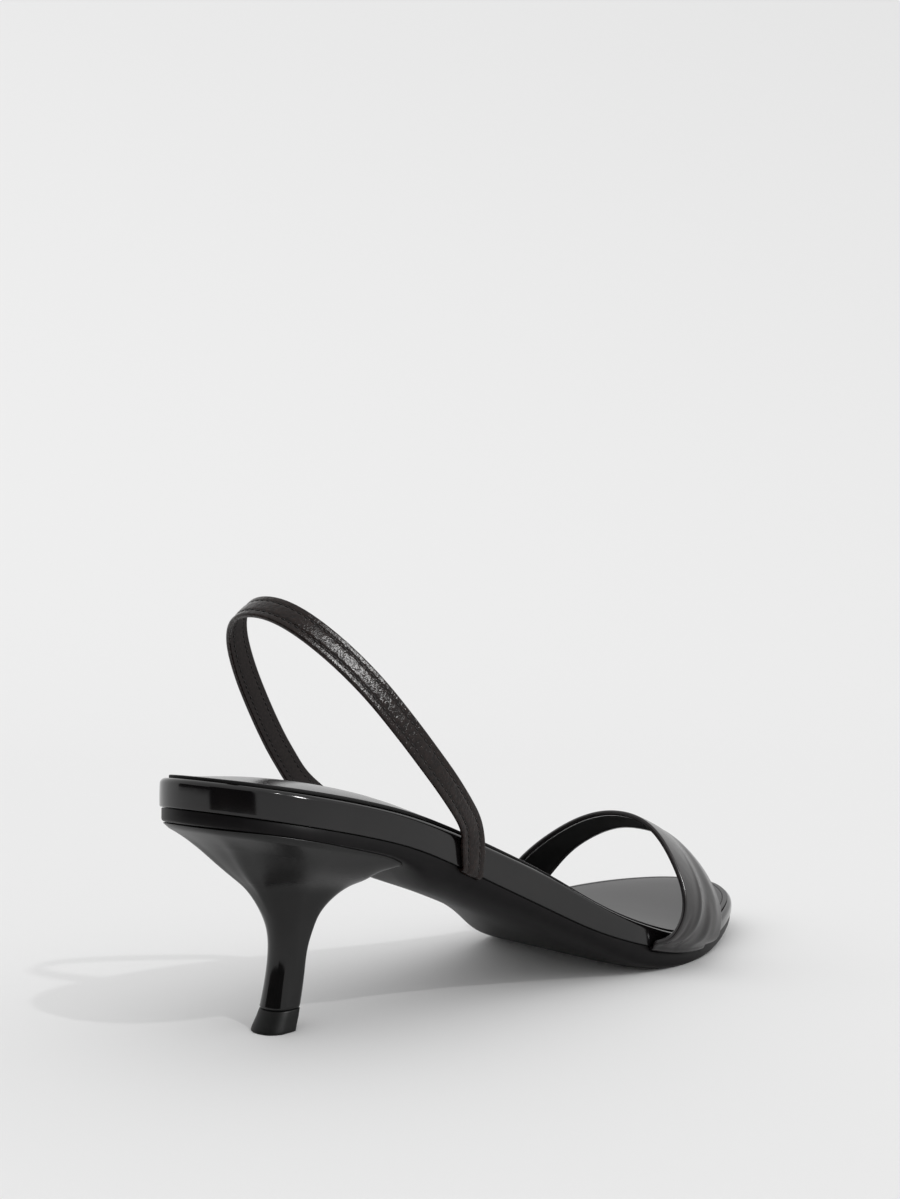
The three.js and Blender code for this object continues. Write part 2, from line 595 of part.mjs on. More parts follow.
// Sling strap, from just above the footbed's edge to the top of the loop behind the foot.
// out: half breadth, share of SLING_SPREAD. ahead: from SLING_BACK forward, share of the way to
// SLING_FOOT. up: share of the way from the footbed's outer edge to the top of the loop.
// lean: how far the upper edge leans to the toe, degrees.
// wide: share of SLING_WIDTH. splay: front edge out from the rear edge, share of SLING_WIDTH.
const SLING = [
  { out: 0.972, ahead: 0.985, up: 0.037, lean: 86, wide: 1.06, splay: 0.04 },
  { out: 1, ahead: 0.915, up: 0.112, lean: 72, wide: 1.03, splay: 0.02 },
  { out: 1.01, ahead: 0.83, up: 0.19, lean: 58, wide: 1, splay: 0 },
  { out: 1, ahead: 0.745, up: 0.271, lean: 52, wide: 1, splay: 0 },
  { out: 0.975, ahead: 0.66, up: 0.351, lean: 51, wide: 1, splay: 0 },
  { out: 0.94, ahead: 0.58, up: 0.432, lean: 51, wide: 1, splay: 0 },
  { out: 0.895, ahead: 0.503, up: 0.51, lean: 51, wide: 1, splay: 0 },
  { out: 0.843, ahead: 0.426, up: 0.59, lean: 51, wide: 1, splay: 0 },
  { out: 0.776, ahead: 0.345, up: 0.67, lean: 51, wide: 1, splay: 0 },
  { out: 0.686, ahead: 0.262, up: 0.75, lean: 51, wide: 1, splay: 0 },
  { out: 0.572, ahead: 0.178, up: 0.828, lean: 51, wide: 1, splay: 0 },
  { out: 0.42, ahead: 0.1, up: 0.901, lean: 51, wide: 1, splay: 0 },
  { out: 0.225, ahead: 0.043, up: 0.954, lean: 51, wide: 1, splay: 0 },
  { out: 0, ahead: 0.022, up: 0.971, lean: 51, wide: 1, splay: 0 },
];

function slingStrap() {
  const foot = (side) => STRAP_END.concat([
    { out: FACE, up: 4, thick: STRAP_LEATHER },
    { out: FACE + 0.1, up: 6.6, thick: STRAP_LEATHER },
  ]).map((p) => ({
    thick: p.thick,
    across: (t) => {
      const wide = SLING_WIDTH * (0.93 + 0.03 * Math.max(p.up, 0));
      return beside(side, SLING_FOOT + wide * (t - 0.5), p.out, p.up);
    },
  }));
  const edgeX = middle(SLING_FOOT) + halfWidth(SLING_FOOT);
  const low = bedHeight(SLING_FOOT, edgeX);
  const high = bedHeight(0, 0) + SLING_RISE;
  const free = (side) => SLING.map((row) => ({
    thick: STRAP_LEATHER,
    across: (t) => {
      const lean = row.lean * Math.PI / 180;
      const off = row.wide * SLING_WIDTH * (t - 0.5);
      const out = row.out * SLING_SPREAD + row.splay * SLING_WIDTH * (t - 0.5);
      const station = SLING_BACK + (SLING_FOOT - SLING_BACK) * row.ahead;
      const up = low + (high - low) * row.up;
      return [side * out, along(station + off * Math.sin(lean)), up + off * Math.cos(lean)];
    },
  }));
  // The inner edge of the footbed stands higher, so the strap leaves it further up.
  const inner = free(-1).slice(2).reverse().slice(1);
  return strapBody([...foot(1), ...free(1), ...inner, ...foot(-1).reverse()], 2);
}

// Recess in the outsole's upper edge where a strap end passes under the footbed.
function strapRecess(side, from, to) {
  const rings = [];
  const margin = 2 * GAP;
  const low = -(TUCK + TAB_LEATHER / 2 + margin);
  for (let i = 0; i <= 6; i += 1) {
    const station = from - margin + (to - from + 2 * margin) * (i / 6);
    rings.push([
      beside(side, station, -TAB_DEPTH - GAP, low), beside(side, station, 4, low),
      beside(side, station, 4, 0.2), beside(side, station, -TAB_DEPTH - GAP, 0.2),
    ]);
  }
  return skin(side > 0 ? rings.map((ring) => ring.reverse()) : rings);
}

function outsoleWithRecesses() {
  const front = TOE_STRAP_BACK + TOE_STRAP_WIDTH;
  const foot = SLING_WIDTH * 0.93 / 2;
  return outsole()
    .subtract(strapRecess(1, TOE_STRAP_BACK, front))
    .subtract(strapRecess(-1, TOE_STRAP_BACK + TOE_STRAP_SLANT, front + TOE_STRAP_SLANT))
    .subtract(strapRecess(1, SLING_FOOT - foot, SLING_FOOT + foot))
    .subtract(strapRecess(-1, SLING_FOOT - foot, SLING_FOOT + foot));
}

const group = new THREE.Group();
function add(name, colour, roughness, solid) {
  const material = new THREE.MeshStandardMaterial({ color: colour, roughness });
  const mesh = new THREE.Mesh(toGeometry(solid), material);
  mesh.name = name;
  group.add(mesh);
}

add("insole_sock", 0x2a2829, 0.45, insoleSock());
add("footbed", 0x0b0a0b, 0.12, footbed());
add("outsole", 0x0e0d0e, 0.3, outsoleWithRecesses());
add("heel", 0x0b0a0b, 0.12, heel());
add("heel_tip", 0x141314, 0.5, heelTip());
add("toe_strap", 0x121011, 0.35, toeStrap());
add("sling_strap", 0x17120f, 0.3, slingStrap());

export default group;
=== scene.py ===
import bpy
import bmesh
import numpy as np
from mathutils import Matrix


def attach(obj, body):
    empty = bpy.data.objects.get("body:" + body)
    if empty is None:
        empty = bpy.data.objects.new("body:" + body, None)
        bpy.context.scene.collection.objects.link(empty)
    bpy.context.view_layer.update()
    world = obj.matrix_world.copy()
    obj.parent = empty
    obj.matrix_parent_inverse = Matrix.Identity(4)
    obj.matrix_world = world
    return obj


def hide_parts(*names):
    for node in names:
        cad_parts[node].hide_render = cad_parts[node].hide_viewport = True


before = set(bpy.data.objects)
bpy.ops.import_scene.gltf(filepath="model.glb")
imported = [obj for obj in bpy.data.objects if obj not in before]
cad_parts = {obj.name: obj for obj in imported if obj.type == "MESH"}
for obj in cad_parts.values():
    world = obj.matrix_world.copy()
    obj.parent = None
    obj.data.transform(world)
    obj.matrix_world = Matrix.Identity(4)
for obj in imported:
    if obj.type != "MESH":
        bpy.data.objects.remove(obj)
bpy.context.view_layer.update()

# Footbed.
# The insole board and its foam pad, wrapped in one piece of black patent leather. The wrapping is
# pulled down over the rolled rim and glued under, so the tall edge is smooth all round.
LENGTH = 238.0  # millimetres, as all lengths here
BALL_STATION = 0.665 * LENGTH
BALL_WIDTH = 76.0
SEAT_RISE = 52.9
TOE_SPRING = 4.8
INNER_ARCH = 6.5
FORE_SOLE = 4.5
BED_THICKNESS = 7.4
BED_CROWN = 2.4
BED_RIM = 1.35  # radius of the rolled rim
BED_CORNER = 0.4  # radius of the lower corner
BED_SWELL = 0.05  # how far the wrapping swells at mid height
HEEL_ROUND = 0.115
TOE_ROUND = 0.04
GAP = 0.3
STEP = 0.6  # spacing of the points round the edge
OUTLINE = np.array([
    # at, half, shift
    [0.115, 0.324, 0.0], [0.2, 0.342, 0.004], [0.3, 0.336, 0.021], [0.4, 0.348, 0.037],
    [0.5, 0.394, 0.038], [0.6, 0.466, 0.022], [0.68, 0.5, 0.0], [0.76, 0.498, -0.033],
    [0.84, 0.46, -0.074], [0.91, 0.36, -0.071], [0.96, 0.247, -0.077], [1.0, 0.06, -0.084],
])
HEIGHTS = np.array([
    # at, rise, spring, bed, crown, arch
    [0, 1, 0, 0.94, 0, 0], [0.05, 0.957, 0, 0.97, 0.4, 0], [0.1, 0.909, 0, 1, 0.85, 0.06],
    [0.15, 0.86, 0, 1.02, 0.96, 0.22], [0.19, 0.815, 0, 1.03, 0.92, 0.42],
    [0.215, 0.785, 0, 1.04, 0.88, 0.53], [0.25, 0.73, 0, 1.07, 0.75, 0.7],
    [0.3, 0.637, 0, 1.15, 0.58, 0.88], [0.35, 0.537, 0, 1.21, 0.5, 1],
    [0.4, 0.435, 0, 1.25, 0.45, 1], [0.45, 0.331, 0, 1.24, 0.43, 1],
    [0.5, 0.227, 0, 1.12, 0.42, 0.9], [0.55, 0.142, 0, 0.93, 0.41, 0.65],
    [0.6, 0.074, 0, 0.8, 0.4, 0.35], [0.65, 0.025, 0, 0.66, 0.4, 0.12],
    [0.7, 0.002, 0, 0.54, 0.38, 0], [0.75, 0, 0.03, 0.5, 0.36, 0], [0.8, 0, 0.2, 0.48, 0.33, 0],
    [0.85, 0, 0.45, 0.47, 0.3, 0], [0.9, 0, 0.7, 0.46, 0.26, 0], [0.95, 0, 0.89, 0.46, 0.18, 0],
    [1, 0, 1, 0.46, 0, 0],
])


def spline(knots, values, x):
    """Natural cubic through values at knots, read at x. Its second slopes solve a banded system,
    so the curve and its bend run on without a break from one span to the next."""
    knots = np.asarray(knots, float)
    values = np.asarray(values, float).reshape(len(knots), -1)
    h = np.diff(knots)
    n = len(knots)
    band = np.eye(n)
    mid = np.arange(1, n - 1)
    band[mid, mid - 1], band[mid, mid], band[mid, mid + 1] = h[:-1], 2 * (h[:-1] + h[1:]), h[1:]
    slope = np.diff(values, axis=0) / h[:, None]
    bend = np.linalg.solve(band, np.vstack([slope[:1] * 0, 6 * np.diff(slope, axis=0), slope[:1] * 0]))
    x = np.clip(x, knots[0], knots[-1])
    i = np.clip(np.searchsorted(knots, x) - 1, 0, n - 2)
    t = (x - knots[i])[..., None]
    width = h[i][..., None]
    start = slope[i] - width * (2 * bend[i] + bend[i + 1]) / 6
    return values[i] + t * (start + t * (bend[i] / 2 + t * (bend[i + 1] - bend[i]) / (6 * width)))


def averaged(padded, spread):
    """Columns averaged with Gaussian weights; three spreads fall away at each padded end."""
    reach = int(3 * spread)
    kernel = np.exp(-0.5 * (np.arange(-reach, reach + 1) / spread) ** 2)
    return np.stack([np.convolve(c, kernel / kernel.sum(), "valid") for c in padded.T], 1)


TABLE_POINTS = 2000


def smooth_table(table, span=LENGTH, spread=5.0):
    """Columns of a table from 0 to span, splined and then averaged over about the spread."""
    line = spline(table[:, 0] * span, table[:, 1:], np.linspace(0, span, TABLE_POINTS))
    spread = spread / span * (TABLE_POINTS - 1)
    reach = int(3 * spread)
    padded = np.vstack([2 * line[0] - line[reach:0:-1], line, 2 * line[-1] - line[-2:-reach - 2:-1]])
    return averaged(padded, spread)


outline_line = smooth_table(OUTLINE)
height_line = smooth_table(HEIGHTS)


def read(line, column, station):
    """A smoothed column at any station."""
    return np.interp(station, np.linspace(0, LENGTH, len(line)), line[:, column])


def middle(station):
    return BALL_WIDTH * read(outline_line, 1, station)


def half_width(station):
    """Half the outline's breadth: the table's column between the two round ends, and there the
    column's value times the root of one less the squared share of the way to the end."""
    heel_end, toe_start = HEEL_ROUND * LENGTH, (1 - TOE_ROUND) * LENGTH
    body = BALL_WIDTH * read(outline_line, 0, np.clip(station, heel_end, toe_start))
    near = 1e-3 * LENGTH
    at_toe, just_behind = read(outline_line, 0, toe_start), read(outline_line, 0, toe_start - near)
    slope = BALL_WIDTH * (at_toe - just_behind) / near
    back = np.clip((heel_end - station) / heel_end, 0, 1)
    ahead = np.clip((station - toe_start) / (LENGTH - toe_start), 0, 1)
    body = body + slope * (LENGTH - toe_start) * ahead * (1 - ahead)
    return body * np.sqrt(1 - back ** 2) * np.sqrt(1 - ahead ** 2)


HEEL_POINTS, TOE_POINTS = 68, 38  # points from the back to the widest seat, and round half the toe
SPINE_BACK, SPINE_FRONT, SPINE_TOE = 8.0, 6.0, 12.0  # how far inside the outline the spine's ends lie
SIDE_BLUR, TOE_BLUR = 3.0, 7.0  # lengths over which the outline is smoothed
TOE_BLEND = (0.8, 0.92)  # shares of the length between which the toe's smoothing comes in


def blurred(curve, reach):
    """A closed curve averaged over about the reach: its frequencies are weakened by a Gaussian."""
    turns = np.fft.fftfreq(len(curve)) * 2 * np.pi
    weight = np.exp(-0.5 * (turns * reach / STEP) ** 2)
    return np.fft.ifft(np.fft.fft(curve, axis=0) * weight[:, None], axis=0).real


def edge_curve():
    """The outline as a closed curve with its outward direction and the point of the middle line
    that each of its points is drawn in towards. Starts at the back, runs up the outer side. It is
    smoothed over a short reach, and over a longer one round the toe."""
    heel_end, toe_start = HEEL_ROUND * LENGTH, (1 - TOE_ROUND) * LENGTH
    heel = heel_end * (1 - np.cos(np.linspace(0, np.pi / 2, HEEL_POINTS, endpoint=False)))
    waist = np.linspace(heel_end, toe_start, int((toe_start - heel_end) / STEP), endpoint=False)
    toe = toe_start + (LENGTH - toe_start) * np.sin(np.linspace(0, np.pi / 2, TOE_POINTS))
    station = np.concatenate([heel, waist, toe])
    outer = np.stack([middle(station) + half_width(station), station], 1)
    inner = np.stack([middle(station) - half_width(station), station], 1)
    curve = np.vstack([outer, inner[-2:0:-1]])
    fine, broad = blurred(curve, SIDE_BLUR), blurred(curve, TOE_BLUR)
    share = np.clip((fine[:, 1:] / LENGTH - TOE_BLEND[0]) / (TOE_BLEND[1] - TOE_BLEND[0]), 0, 1)
    curve = fine + (broad - fine) * share * share * (3 - 2 * share)
    along = np.roll(curve, -1, 0) - np.roll(curve, 1, 0)
    along /= np.linalg.norm(along, axis=1)[:, None]
    out = np.stack([along[:, 1], -along[:, 0]], 1)
    inward = np.clip((station - SPINE_BACK) / (LENGTH - SPINE_BACK - SPINE_FRONT), 0, 1)
    along_spine = heel_end + (LENGTH - SPINE_TOE - heel_end) * inward
    along_spine = np.concatenate([along_spine, along_spine[-2:0:-1]])
    return curve, out, np.stack([middle(along_spine), along_spine], 1)


edge, edge_out, spine = edge_curve()


def across(x, station):
    """Place across the foot, from -1 at the inner edge to 1 at the outer edge."""
    return np.clip((x - middle(station)) / np.maximum(half_width(station), 0.5), -1, 1)


def seam_height(x, station):
    """Height of the seam under the footbed: sole, rise to the heel, toe spring and inner arch."""
    lift = INNER_ARCH * read(height_line, 4, station) * (1 - across(x, station)) / 2
    rise = SEAT_RISE * read(height_line, 0, station) + TOE_SPRING * read(height_line, 1, station)
    return FORE_SOLE + rise + lift


def bed_tall(station):
    return BED_THICKNESS * read(height_line, 2, station)


def drawn_in(inset, share):
    """The outline moved in by inset, then by a share of the way to the middle line."""
    ring = edge - edge_out * inset
    return ring + (spine - ring) * share


def pad_height(x, station, share):
    """Top of the padded footbed: its edge's height, crowned by the share of the way in."""
    crown = BED_CROWN * read(height_line, 3, station) * (1 - (1 - share) ** 2.6)
    return seam_height(x, station) + bed_tall(station) + crown


def finish_mesh(name, mesh):
    """Object of a mesh whose poles and seams are closed and whose faces point out and are smooth."""
    tidy = bmesh.new()
    tidy.from_mesh(mesh)
    bmesh.ops.remove_doubles(tidy, verts=tidy.verts, dist=2e-6)
    bmesh.ops.dissolve_degenerate(tidy, edges=tidy.edges, dist=1e-6)
    bmesh.ops.recalc_face_normals(tidy, faces=tidy.faces)
    tidy.to_mesh(mesh)
    tidy.free()
    mesh.shade_smooth()
    piece = bpy.data.objects.new(name, mesh)
    bpy.context.scene.collection.objects.link(piece)
    return piece


def put_mesh(name, rings, caps=False, skins=0):
    """Mesh from rings of points in millimetres, shape (rings, points, 3), skinned with quads.
    Skins are the material slots of the faces, which follow the rings or the points."""
    count, points = rings.shape[:2]
    co = rings.reshape(-1, 3) * 0.001
    i = np.arange(count - 1)[:, None] * points
    j = np.arange(points)[None, :]
    k = (j + 1) % points
    faces = np.stack([i + j, i + k, i + points + k, i + points + j], -1).reshape(-1, 4)
    slots = (np.zeros((count - 1, points), np.int32) + skins).ravel()
    if caps:
        half = np.arange(points // 2 - 1)
        strip = np.stack([half, half + 1, points - 2 - half, points - 1 - half], 1)
        faces = np.vstack([faces, strip[:, ::-1], strip + (count - 1) * points])
        slots = np.concatenate([slots, np.zeros(2 * len(strip), np.int32)])
    mesh = bpy.data.meshes.new(name)
    mesh.vertices.add(len(co))
    mesh.vertices.foreach_set("co", co.astype(np.float32).ravel())
    mesh.loops.add(faces.size)
    mesh.loops.foreach_set("vertex_index", faces.astype(np.int32).ravel())
    mesh.polygons.add(len(faces))
    mesh.polygons.foreach_set("loop_start", np.arange(0, faces.size, 4, dtype=np.int32))
    mesh.polygons.foreach_set("material_index", slots)
    mesh.update(calc_edges=True)
    return finish_mesh(name, mesh)


def with_height(plan, height):
    """Points of the plan, moved so that the ball is the origin, with their heights."""
    return np.stack([plan[:, 0], plan[:, 1] - BALL_STATION, height], 1)


def footbed_rings():
    """From the middle of the underside out to the lower corner, up the swelling side, over the
    rolled rim and in to the middle of the crowned top."""
    rings = []
    foot = seam_height(edge[:, 0], edge[:, 1])
    tall = bed_tall(edge[:, 1])
    for share in (1, 0.6, 0.3, 0.1, 0.02):
        plan = drawn_in(BED_CORNER, share)
        rings.append(with_height(plan, seam_height(plan[:, 0], plan[:, 1])))
    for turn in np.linspace(0, np.pi / 2, 6):
        inset, lift = BED_CORNER * (1 - np.sin(turn)), BED_CORNER * (1 - np.cos(turn))
        rings.append(with_height(drawn_in(inset, 0), foot + lift))
    for up in np.linspace(0, 1, 12)[1:-1]:
        swell = -BED_SWELL * np.sin(np.pi * up)
        lift = BED_CORNER + (tall - BED_RIM - BED_CORNER) * up
        rings.append(with_height(drawn_in(swell, 0), foot + lift))
    for turn in np.linspace(0, np.pi / 2, 9):
        inset, lift = BED_RIM * (1 - np.cos(turn)), BED_RIM * (1 - np.sin(turn))
        rings.append(with_height(drawn_in(inset, 0), foot + tall - lift))
    for share in (0.03, 0.08, 0.16, 0.28, 0.45, 0.65, 0.85, 1):
        plan = drawn_in(BED_RIM, share)
        rings.append(with_height(plan, pad_height(plan[:, 0], plan[:, 1], share)))
    return np.array(rings)


def linear(hexcode):
    """An sRGB hex colour as linear red, green, blue and alpha."""
    parts = np.array([int(hexcode[i:i + 2], 16) for i in (0, 2, 4)]) / 255
    return (*np.where(parts > 0.04045, ((parts + 0.055) / 1.055) ** 2.4, parts / 12.92), 1.0)


def add(tree, kind, values=(), links=(), **settings):
    """One node with its settings, its inputs' values and its incoming links."""
    node = tree.nodes.new(kind)
    for name, value in settings.items():
        setattr(node, name, value)
    for name, value in dict(values).items():
        node.inputs[name].default_value = value
    for name, socket in dict(links).items():
        tree.links.new(socket, node.inputs[name])
    return node


def new_material(name, values):
    """A material with one Principled shader that has the given socket values."""
    material = bpy.data.materials.new(name)
    material.use_nodes = True
    tree = material.node_tree
    shader = tree.nodes["Principled BSDF"]
    for socket, value in values.items():
        shader.inputs[socket].default_value = value
    return material, tree, shader


def waves(tree, shader, size, depth, detail=2.0, rough=0.5):
    """Relief of a real size and depth in millimetres, from noise on Object coordinates."""
    place = add(tree, "ShaderNodeTexCoord")
    noise = add(tree, "ShaderNodeTexNoise", {"Scale": 1000 / size, "Detail": detail, "Roughness": rough},
                {"Vector": place.outputs["Object"]})
    bump = add(tree, "ShaderNodeBump", {"Distance": depth * 0.001, "Strength": 1.0},
               {"Height": noise.outputs["Fac"]})
    tree.links.new(bump.outputs["Normal"], shader.inputs["Normal"])
    return place, noise, bump


def shade(tree, shader, source, low, high, dark, light):
    """Base colour that follows a pattern's value from low to high."""
    ramp = add(tree, "ShaderNodeMapRange", {"From Min": low, "From Max": high}, {"Value": source})
    mix = add(tree, "ShaderNodeMix", {}, {"Factor": ramp.outputs["Result"]}, data_type="RGBA")
    mix.inputs[6].default_value, mix.inputs[7].default_value = linear(dark), linear(light)
    tree.links.new(mix.outputs[2], shader.inputs["Base Color"])
    return ramp


# Patent leather: split hide under a flowed polyurethane film, which mirrors the room and shows
# the hide below only as a slow waviness about 9 mm long.
patent, tree, shader = new_material("patent leather, flowed film", {
    "Base Color": linear("0b0a0b"), "Roughness": 0.12, "IOR": 1.47,
})
place, slow, bump = waves(tree, shader, 9.0, 0.05)
shade(tree, shader, slow.outputs["Fac"], 0.35, 0.7, "080708", "0f0d0d")

footbed = put_mesh("footbed_patent", footbed_rings())
footbed.data.materials.append(patent)
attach(footbed, "root")
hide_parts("footbed")

# Toe strap.
# One wide band of smooth black leather, folded over at both edges on a thin lining. Its ends are
# thinned and glued under the footbed before the outsole goes on.
STRAP_LEATHER = 1.4
TAB_LEATHER = 0.9
TAB_DEPTH = 4.5
TOE_STRAP_BACK = 143.4
TOE_STRAP_WIDTH = 26.8
TOE_STRAP_RISE = 45.2
TOE_STRAP_SLANT = 18.0
STRAP_BOW = 0.7
FACE = GAP + STRAP_LEATHER / 2
TUCK = GAP + TAB_LEATHER / 2
STRAP_END = np.array([
    # out, up, thickness
    [-TAB_DEPTH, -TUCK, TAB_LEATHER], [-TAB_DEPTH * 0.4, -TUCK, TAB_LEATHER],
    [-0.1 * FACE, -TUCK, TAB_LEATHER], [0.5 * FACE, -0.86 * TUCK, TAB_LEATHER],
    [0.86 * FACE, -0.4 * TUCK, TAB_LEATHER + 0.3], [FACE, 0.35, STRAP_LEATHER - 0.2],
    [FACE, 1.3, STRAP_LEATHER],
])
TOE_STRAP = np.array([
    # rear: across, up, ahead; front: across, up, ahead
    [1.076, 0.226, 0.11, 1.079, 0.146, 0.08], [1.145, 0.279, 0.23, 1.118, 0.206, 0.14],
    [1.187, 0.365, 0.29, 1.116, 0.283, 0.19], [1.189, 0.46, 0.34, 1.079, 0.376, 0.26],
    [1.158, 0.56, 0.39, 1.008, 0.473, 0.32], [1.079, 0.673, 0.45, 0.903, 0.575, 0.39],
    [0.971, 0.794, 0.52, 0.771, 0.673, 0.45], [0.837, 0.907, 0.57, 0.613, 0.757, 0.52],
    [0.668, 0.98, 0.61, 0.439, 0.81, 0.59], [0.447, 1.002, 0.66, 0.25, 0.834, 0.63],
    [0.221, 0.98, 0.71, 0.042, 0.836, 0.67], [-0.016, 0.916, 0.76, -0.168, 0.799, 0.71],
    [-0.247, 0.823, 0.82, -0.387, 0.721, 0.76], [-0.479, 0.708, 0.87, -0.595, 0.622, 0.82],
    [-0.7, 0.573, 0.93, -0.787, 0.493, 0.88], [-0.9, 0.425, 0.97, -0.979, 0.338, 0.94],
    [-1.034, 0.288, 0.99, -1.111, 0.221, 0.97],
])


def beside(side, station, out, up):
    """A point beside the footbed's edge, out from it and up from its seam."""
    x = middle(station) + side * (half_width(station) + out)
    return np.stack([x, station - BALL_STATION, seam_height(x, station) + up], -1)


EASING = ((1.1, 5.6, 2.0), (3.0, 9.0, 9.0))  # reach, where it starts from an end, length it grows over


def length_along(line):
    """Length from a line's start to each of its points."""
    return np.concatenate([[0], np.cumsum(np.linalg.norm(np.diff(line, axis=0), axis=1))])


def run_through(keys, spacing):
    """Rows of points led through key rows, shape (keys, columns, 3), by a spline on the length of
    the middle column, even in length, and eased away from both ends."""
    length = length_along(keys[:, keys.shape[1] // 2])
    at = np.linspace(0, length[-1], int(length[-1] / spacing) + 1)
    rows = spline(length, keys.reshape(len(keys), -1), at)
    end = np.minimum(at, at[-1] - at)
    for reach_length, start, grow in EASING:
        spread = reach_length / spacing
        reach = int(3 * spread)
        eased = averaged(np.pad(rows, ((reach, reach), (0, 0)), "edge"), spread)
        weight = np.clip((end - start) / grow, 0, 1)
        weight = (weight * weight * (3 - 2 * weight))[:, None]
        rows = rows * (1 - weight) + eased * weight
    return at, rows.reshape(len(at), *keys.shape[1:])


def strap_frame(rows):
    """Unit vectors on a grid of strap points: out of the face, along the strap, across it."""
    along = np.gradient(rows, axis=0)
    wide = np.gradient(rows, axis=1)
    face = np.cross(wide, along)
    face /= np.linalg.norm(face, axis=2)[..., None]
    wide /= np.linalg.norm(wide, axis=2)[..., None]
    along /= np.linalg.norm(along, axis=2)[..., None]
    return face, along, wide


def strap_rings(rows, thick, relief, back_relief):
    """Rings round a strap: its outer face with relief added, a rounded edge with the joint of
    leather and lining pressed in, the inner face with its own relief, and the other edge."""
    face, _, wide = strap_frame(rows)
    half = thick[:, None, None] / 2
    outer = rows + face * (half + relief[..., None])
    inner = rows - face * (half + back_relief[..., None])
    turns = np.linspace(0, np.pi, 9)[1:-1]
    pressed = 1 - 0.3 * np.exp(-((turns - 2.0) / 0.22) ** 2)
    roll = (np.sin(turns) * pressed)[None, :, None] * 0.8
    lift = (np.cos(turns) * pressed)[None, :, None]
    front = rows[:, -1:] + half * (wide[:, -1:] * roll + face[:, -1:] * lift)
    rear = rows[:, :1] + half * (-wide[:, :1] * roll + face[:, :1] * lift)
    return np.concatenate([outer, front, inner[:, ::-1], rear[:, ::-1]], 1)


def lining_skin(columns, margin):
    """Slot 1 on the inner face, but for a margin of columns at each edge; slot 0 elsewhere."""
    skin = np.zeros(2 * columns + 14, int)
    skin[columns + 7 + margin:2 * columns + 6 - margin] = 1
    return skin


def toe_strap_rows(columns):
    """Middle surface of the toe strap: key rows run straight from the rear edge to the front
    edge and bow out between them."""
    t = np.linspace(0, 1, columns)[None, :]
    ends = []
    for side, shift in ((1, 0), (-1, TOE_STRAP_SLANT)):
        out, up = STRAP_END[:-1, :1] + 0 * t, STRAP_END[:-1, 1:2] + 0 * t
        ends.append(beside(side, TOE_STRAP_BACK + shift + TOE_STRAP_WIDTH * t + 0 * out, out, up))
    rear = TOE_STRAP[:, None, 0:3] * [BALL_WIDTH / 2, TOE_STRAP_RISE, TOE_STRAP_SLANT]
    front = TOE_STRAP[:, None, 3:6] * [BALL_WIDTH / 2, TOE_STRAP_RISE, TOE_STRAP_SLANT]
    front = front + [0, 0, TOE_STRAP_WIDTH]
    free = rear + (front - rear) * t[..., None]
    bow = STRAP_BOW * 4 * t * (1 - t)
    free = np.stack([free[..., 0] * (1 + 2 * bow / BALL_WIDTH),
                     free[..., 2] + TOE_STRAP_BACK - BALL_STATION, free[..., 1] + 0.4 * bow], -1)
    return run_through(np.concatenate([ends[0], free, ends[1][::-1]]), 0.6)


def end_thickness(at):
    """Thickness along a strap: the tab's under the footbed, growing to the full leather's."""
    end = np.minimum(at, at[-1] - at)
    share = np.clip((end - TAB_DEPTH) / 3, 0, 1)
    return TAB_LEATHER + (STRAP_LEATHER - TAB_LEATHER) * share


# Soft lengthwise folds in the toe strap's face, pulled up from its outer end.
# place across (0 rear, 1 front) at the foot and at the top, height, width, start and end along
TOE_FOLDS = np.array([
    [0.2, 0.5, 0.32, 0.055, 7, 42], [0.42, 0.72, -0.42, 0.13, 6, 56],
    [0.8, 0.86, 0.3, 0.09, 12, 62], [0.07, 0.13, -0.2, 0.04, 5, 20],
    [0.34, 0.28, -0.16, 0.05, 5, 16], [0.66, 0.6, 0.22, 0.07, 5, 24],
])
TURNED_EDGE = 1.7  # width of leather turned over the lining's edge
TOE_COLUMNS = 65


def toe_relief(at, columns):
    """Height added to the face: for each fold a rounded ridge or trough that wanders from its
    place at the foot to its place at the top and fades at both ends; the same at the far foot."""
    t = np.linspace(0, 1, columns)[None, :]
    total = np.zeros((len(at), columns))
    for foot, top, high, wide, start, stop in TOE_FOLDS:
        for run, line in ((at, t), (at[-1] - at, 1 - t)):
            share = np.clip((run - start) / (stop - start), 0, 1)[:, None]
            place = foot + (top - foot) * share ** 0.8
            fade = np.sin(np.pi * share) ** 0.8
            total += high * fade * np.exp(-((line - place) / wide) ** 2)
    return total * np.sin(np.pi * t) ** 0.3


def turned_edges(at, columns):
    """Height added to the inner face: the turned leather stands a little above the lining."""
    from_edge = TOE_STRAP_WIDTH * (0.5 - np.abs(np.linspace(-0.5, 0.5, columns)))[None, :]
    step = 1 / (1 + np.exp((from_edge - TURNED_EDGE) / 0.12))
    return np.repeat(0.16 * step, len(at), 0)


at, rows = toe_strap_rows(TOE_COLUMNS)
rings = strap_rings(rows, end_thickness(at), toe_relief(at, TOE_COLUMNS), turned_edges(at, TOE_COLUMNS))
margin = int(round(TURNED_EDGE / TOE_STRAP_WIDTH * TOE_COLUMNS))
toe_strap = put_mesh("toe_strap_leather", rings, caps=True, skins=lining_skin(TOE_COLUMNS, margin))

